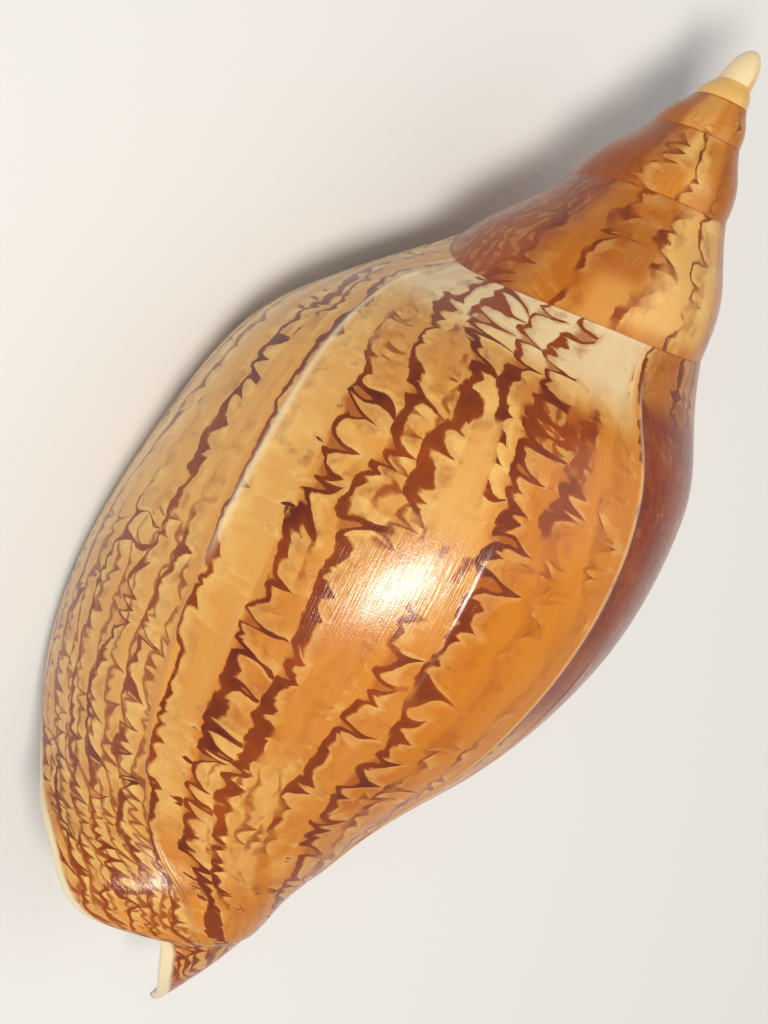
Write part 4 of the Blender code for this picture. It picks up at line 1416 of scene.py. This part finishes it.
@dataclass
class ShellForm:
    """The whole shell: mesh density, wall, hollow, growth lines and markings."""

    growth: Growth = Growth()
    placement: Placement = Placement()
    finish: ShellFinish = ShellFinish()
    marks: MarkLayout = MarkLayout()
    ground: GroundLayout = GroundLayout()
    base_rows: int = 140
    covered_columns: int = 36
    spire_turns: int = 4
    dome_rings: int = 12
    dome_top: float = 2.2
    wall: float = 2.2
    rim_steps: int = 8
    corner_drop: float = 0.035
    seam_gap: float = 0.004
    relief_edge: float = 0.012
    relief_end: float = 0.93
    relief_fade: float = 0.1
    relief_start: float = 0.01
    dome_turns: float = 0.6
    pillar_edge: float = 0.25
    rim_turns: float = 0.004
    settle_turns: float = 0.03
    solid_turns: float = 0.3
    column_knots: tuple[float, ...] = (0.68, 0.83, 0.92, 1.0)
    column_counts: tuple[int, ...] = (44, 36, 14, 12)
    line_steps: tuple[float, ...] = (-2.0, -1.3, -0.7, 0.0, 0.7, 1.3, 2.0)
    line_room: float = 0.0015
    hollow_turns: tuple[float, ...] = (
        0.01, 0.02, 0.035, 0.05, 0.07, 0.09, 0.115, 0.14, 0.17, 0.2, 0.235, 0.27,
        0.31, 0.35, 0.4, 0.45, 0.5, 0.56, 0.62, 0.7, 0.78, 0.86, 0.94, 1.04)
    lines: tuple[GrowthLine, ...] = (
        GrowthLine(0.1455, 0.4, 0.0024, 0.03, 0.8, 0.75, 0.46),
        GrowthLine(0.178, 0.12, 0.0015, 0.15, 0.8, 0.0, 0.8),
        GrowthLine(0.298, 0.14, 0.0013, 0.3, 0.8, 0.05, 0.55),
        GrowthLine(0.399, 0.22, 0.0016, 0.02, 0.75, 0.4, 0.75),
        GrowthLine(0.433, 0.14, 0.0015, 0.4, 0.78, 0.12, 0.6),
    )
    undulation: float = 0.07
    relief_seed: int = 0

    def columns(self) -> Array:
        """Lip coordinates of the mesh columns.

        Returns:
            Rising places from 0 to 1.
        """
        knots = (self.growth.covered, *self.column_knots)
        parts = [np.linspace(0.0, knots[0], self.covered_columns + 1)]
        for low, high, count in zip(knots[:-1], knots[1:], self.column_counts):
            parts.append(np.linspace(low, high, count + 1)[1:])
        return np.concatenate(parts)

    def relief_weight(self, n: Array, t: Array) -> Array:
        """How strongly the relief acts: not at the suture, the pillar or the lip."""
        return (ease(t / self.relief_edge) * ease((self.relief_end - t) / self.relief_fade)
                * ease(n / self.relief_start))

    def row_shares(self) -> Array:
        """Places of the rows in each turn, closer together beside the growth lines.

        Returns:
            Rising shares of a turn.
        """
        places = list(np.linspace(0.0, 1.0, self.base_rows, endpoint=False))
        setback = self.growth.setback
        for line in self.lines:
            middle = (line.n - setback) / (1.0 - setback)
            steps = np.array(self.line_steps) * line.half_width
            room = self.line_steps[-1] * line.half_width + self.line_room
            places = [p for p in places if abs(p - middle) > room]
            places += list(middle + steps)
        return np.array(sorted(places))

    def build(self) -> tuple[bpy.types.Object, Array]:
        """Builds the shell.

        Returns:
            The finished object, and the shift of its placement.
        """
        mesh_maker = ShellMesh(self.growth, self)
        mesh_maker.outer_surface()
        mesh_maker.mouth()
        mesh = bpy.data.meshes.new("spiral_shell")
        mesh.from_pydata(np.array(mesh_maker.points) * METRES, [], mesh_maker.faces)
        mesh.shade_smooth()
        self.store(mesh, np.array(mesh_maker.corners), np.array(mesh_maker.weights))
        rough = add_object("shell_rough", mesh)
        material = self.finish.build()
        relief = self.relief_tree(material)
        modifier = rough.modifiers.new("growth_lines", "NODES")
        modifier.node_group = relief
        settings = {"Undulation Height": self.undulation * METRES, "Line Scale": 1.0,
                    "Seed": self.relief_seed}
        for socket in relief.interface.items_tree:
            if socket.in_out == "INPUT" and socket.name in settings:
                modifier[socket.identifier] = settings[socket.name]
        grid = bpy.context.evaluated_depsgraph_get()
        final = bpy.data.meshes.new_from_object(rough.evaluated_get(grid))
        bpy.data.objects.remove(rough, do_unlink=True)
        count = len(final.vertices)
        flat = np.empty(count * 3)
        final.vertices.foreach_get("co", flat)
        laid, shift = self.placement.lay(flat.reshape(-1, 3) * 1000.0)
        final.vertices.foreach_set("co", laid.ravel())
        final.update()
        final.name = "spiral_shell"
        shell = add_object("spiral_shell", final)
        LOG.info("spiral_shell: %d points, %d faces", count, len(final.polygons))
        return shell, shift

    def store(self, mesh: bpy.types.Mesh, corners: Array, weights: Array) -> None:
        """Writes the growth coordinates and the layout of the markings on the mesh.

        Args:
            mesh: Mesh of the shell.
            corners: n, t and side of each face corner.
            weights: n, t and relief weight of each point.
        """
        places, back = np.unique(corners.round(7), axis=0, return_inverse=True)
        n, t, side = places.T
        layout = self.marks.read(self.growth, n, t) | self.ground.read(n, t, side, self.lines)
        for name, values in layout.items():
            layer = mesh.attributes.new(name, "FLOAT_VECTOR", "CORNER")
            layer.data.foreach_set("vector", values[back.ravel()].astype(np.float32).ravel())
        layer = mesh.attributes.new("growth", "FLOAT_VECTOR", "POINT")
        layer.data.foreach_set("vector", weights.astype(np.float32).ravel())

    def relief_tree(self, material: bpy.types.Material) -> bpy.types.NodeTree:
        """Tree that raises the growth lines and the low swells between them.

        Args:
            material: Finish set on the result.

        Returns:
            A geometry tree with named inputs for its sizes.
        """
        group = bpy.data.node_groups.new("growth_lines", "GeometryNodeTree")
        group.interface.new_socket("Geometry", in_out="INPUT", socket_type="NodeSocketGeometry")
        for name, kind, value in (("Undulation Height", "NodeSocketFloat", 0.00005),
                                  ("Line Scale", "NodeSocketFloat", 1.0), ("Seed", "NodeSocketInt", 0)):
            group.interface.new_socket(name, in_out="INPUT", socket_type=kind).default_value = value
        group.interface.new_socket("Geometry", in_out="OUTPUT", socket_type="NodeSocketGeometry")
        tree = Tree(group)
        source = tree.node("NodeGroupInput")
        named = tree.node("GeometryNodeInputNamedAttribute", {"data_type": "FLOAT_VECTOR"},
                          {"Name": "growth"})
        n, t, weight = tree.split(named.outputs[0])
        height: Value | float = 0.0
        for line in self.lines:
            hump = tree.math("EXPONENT", ((n - line.n) / line.half_width) ** 2.0 * -1.0)
            begun = t.smooth(line.start - 0.03, line.start + 0.03)
            window = begun * (1.0 - t.smooth(line.end - 0.04, line.end + 0.04))
            height = hump * window * (line.height * METRES) + height
        height = height * Value(tree, source.outputs["Line Scale"])
        seed = Value(tree, source.outputs["Seed"])
        swell = tree.noise(tree.vector(n * 34.0, t * 2.0, seed), 1.0, 2.0) - 0.5
        height = height + swell * 2.0 * Value(tree, source.outputs["Undulation Height"])
        normal = tree.node("GeometryNodeInputNormal").outputs[0]
        offset = tree.node("ShaderNodeVectorMath", {"operation": "SCALE"},
                           {"Vector": normal, "Scale": height * weight})
        moved = tree.node("GeometryNodeSetPosition", inputs={
            "Geometry": source.outputs["Geometry"], "Offset": offset.outputs["Vector"]})
        whole = tree.node("GeometryNodeRealizeInstances", inputs={"Geometry": moved.outputs[0]})
        dressed = tree.node("GeometryNodeSetMaterial", inputs={
            "Geometry": whole.outputs[0], "Material": material})
        tree.node("NodeGroupOutput", inputs={"Geometry": dressed.outputs[0]})
        return group


@dataclass(frozen=True)
class Lamp:
    """A soft rectangular light, with places and sizes in metres and power in watts."""

    name: str
    place: tuple[float, float, float]
    target: tuple[float, float, float]
    size: tuple[float, float]
    power: float
    colour: tuple[float, float, float]

    def build(self) -> None:
        """Adds the light to the scene."""
        data = bpy.data.lights.new(self.name, "AREA")
        data.shape = "RECTANGLE"
        data.size, data.size_y = self.size
        data.energy = self.power
        data.color = self.colour
        light = add_object(self.name, data)
        light.location = self.place
        towards = mathutils.Vector(self.target) - mathutils.Vector(self.place)
        light.rotation_euler = towards.to_track_quat("-Z", "Y").to_euler()


@dataclass(frozen=True)
class Studio:
    """Pale floor, soft lights and the camera, which looks down on the shell's back."""

    floor_size: float = 3.0
    floor_colour: Colour = (0.74, 0.73, 0.71, 1.0)
    lean: float = -1.51
    camera_at: tuple[float, float, float] = (-12.44, -97.67, 408.0)
    camera_right: tuple[float, float, float] = (0.84885, 0.52863, 0.0)
    frame_height_px: float = 1024.0
    focal_px: float = 2400.0
    sensor: float = 36.0
    floor_roughness: float = 0.8
    sky: Colour = (0.97, 0.98, 1.0, 1.0)
    sky_strength: float = 0.34
    lamps: tuple[Lamp, ...] = (
        Lamp("key", (-0.224, -0.167, 0.715), (0.0, 0.0, 0.04), (0.15, 0.24), 4.8, (1.0, 0.96, 0.90)),
        Lamp("fill", (0.5, 0.4, 0.9), (0.0, 0.0, 0.03), (0.8, 0.8), 1.8, (1.0, 0.98, 0.95)),
    )

    def from_view(self, vector: tuple[float, float, float]) -> Array:
        """A vector of the camera's upright frame in the shell's own frame.

        Args:
            vector: Right, up and back.

        Returns:
            The same vector, leaned.
        """
        c, s = math.cos(math.radians(self.lean)), math.sin(math.radians(self.lean))
        x, y, z = vector
        return np.array([c * x + s * y, -s * x + c * y, z])

    def camera(self, placement: Placement, shift: Array) -> bpy.types.Object:
        """Sets the camera at the photograph's viewing angle.

        Args:
            placement: How the shell lies.
            shift: Shift of its placement, in metres.

        Returns:
            The camera.
        """
        right = placement.direction(self.from_view(self.camera_right))
        back = placement.direction(self.from_view((0.0, 0.0, 1.0)))
        up = back.cross(right)
        data = bpy.data.cameras.new("camera")
        data.sensor_fit = "VERTICAL"
        data.sensor_height = self.sensor
        data.lens = self.focal_px / self.frame_height_px * self.sensor
        data.clip_start = 0.01
        camera = add_object("camera", data)
        camera.matrix_world = mathutils.Matrix((right, up, back)).transposed().to_4x4()
        camera.location = placement.carry(self.from_view(self.camera_at), shift)
        bpy.context.scene.camera = camera
        return camera

    def floor(self) -> bpy.types.Object:
        """Plain pale floor."""
        half = self.floor_size / 2.0
        mesh = bpy.data.meshes.new("floor")
        mesh.from_pydata([(-half, -half, 0.0), (half, -half, 0.0), (half, half, 0.0), (-half, half, 0.0)], [],
                         [(0, 1, 2, 3)])
        material = bpy.data.materials.new("floor")
        material.use_nodes = True
        surface = material.node_tree.nodes["Principled BSDF"]
        surface.inputs["Base Color"].default_value = self.floor_colour
        surface.inputs["Roughness"].default_value = self.floor_roughness
        mesh.materials.append(material)
        return add_object("floor", mesh)

    def build(self, placement: Placement, shift: Array) -> bpy.types.Object:
        """Builds the studio and gives its floor.

        Args:
            placement: How the shell lies.
            shift: Shift of its placement, in metres.

        Returns:
            The floor.
        """
        self.camera(placement, shift)
        world = bpy.data.worlds.new("studio")
        bpy.context.scene.world = world
        world.use_nodes = True
        sky = world.node_tree.nodes["Background"]
        sky.inputs["Color"].default_value = self.sky
        sky.inputs["Strength"].default_value = self.sky_strength
        bpy.context.scene.view_settings.view_transform = "Standard"
        for lamp in self.lamps:
            lamp.build()
        LOG.info("studio: camera, floor and %d lights", len(self.lamps))
        return self.floor()


def main() -> None:
    """Builds the shell and the studio, and reports each piece."""
    logging.basicConfig(level=logging.INFO, format="%(name)s: %(message)s")
    form = ShellForm()
    shell, shift = form.build()
    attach(shell, "root")
    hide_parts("shell")
    Studio().build(form.placement, shift)


if __name__ == "__main__":
    main()
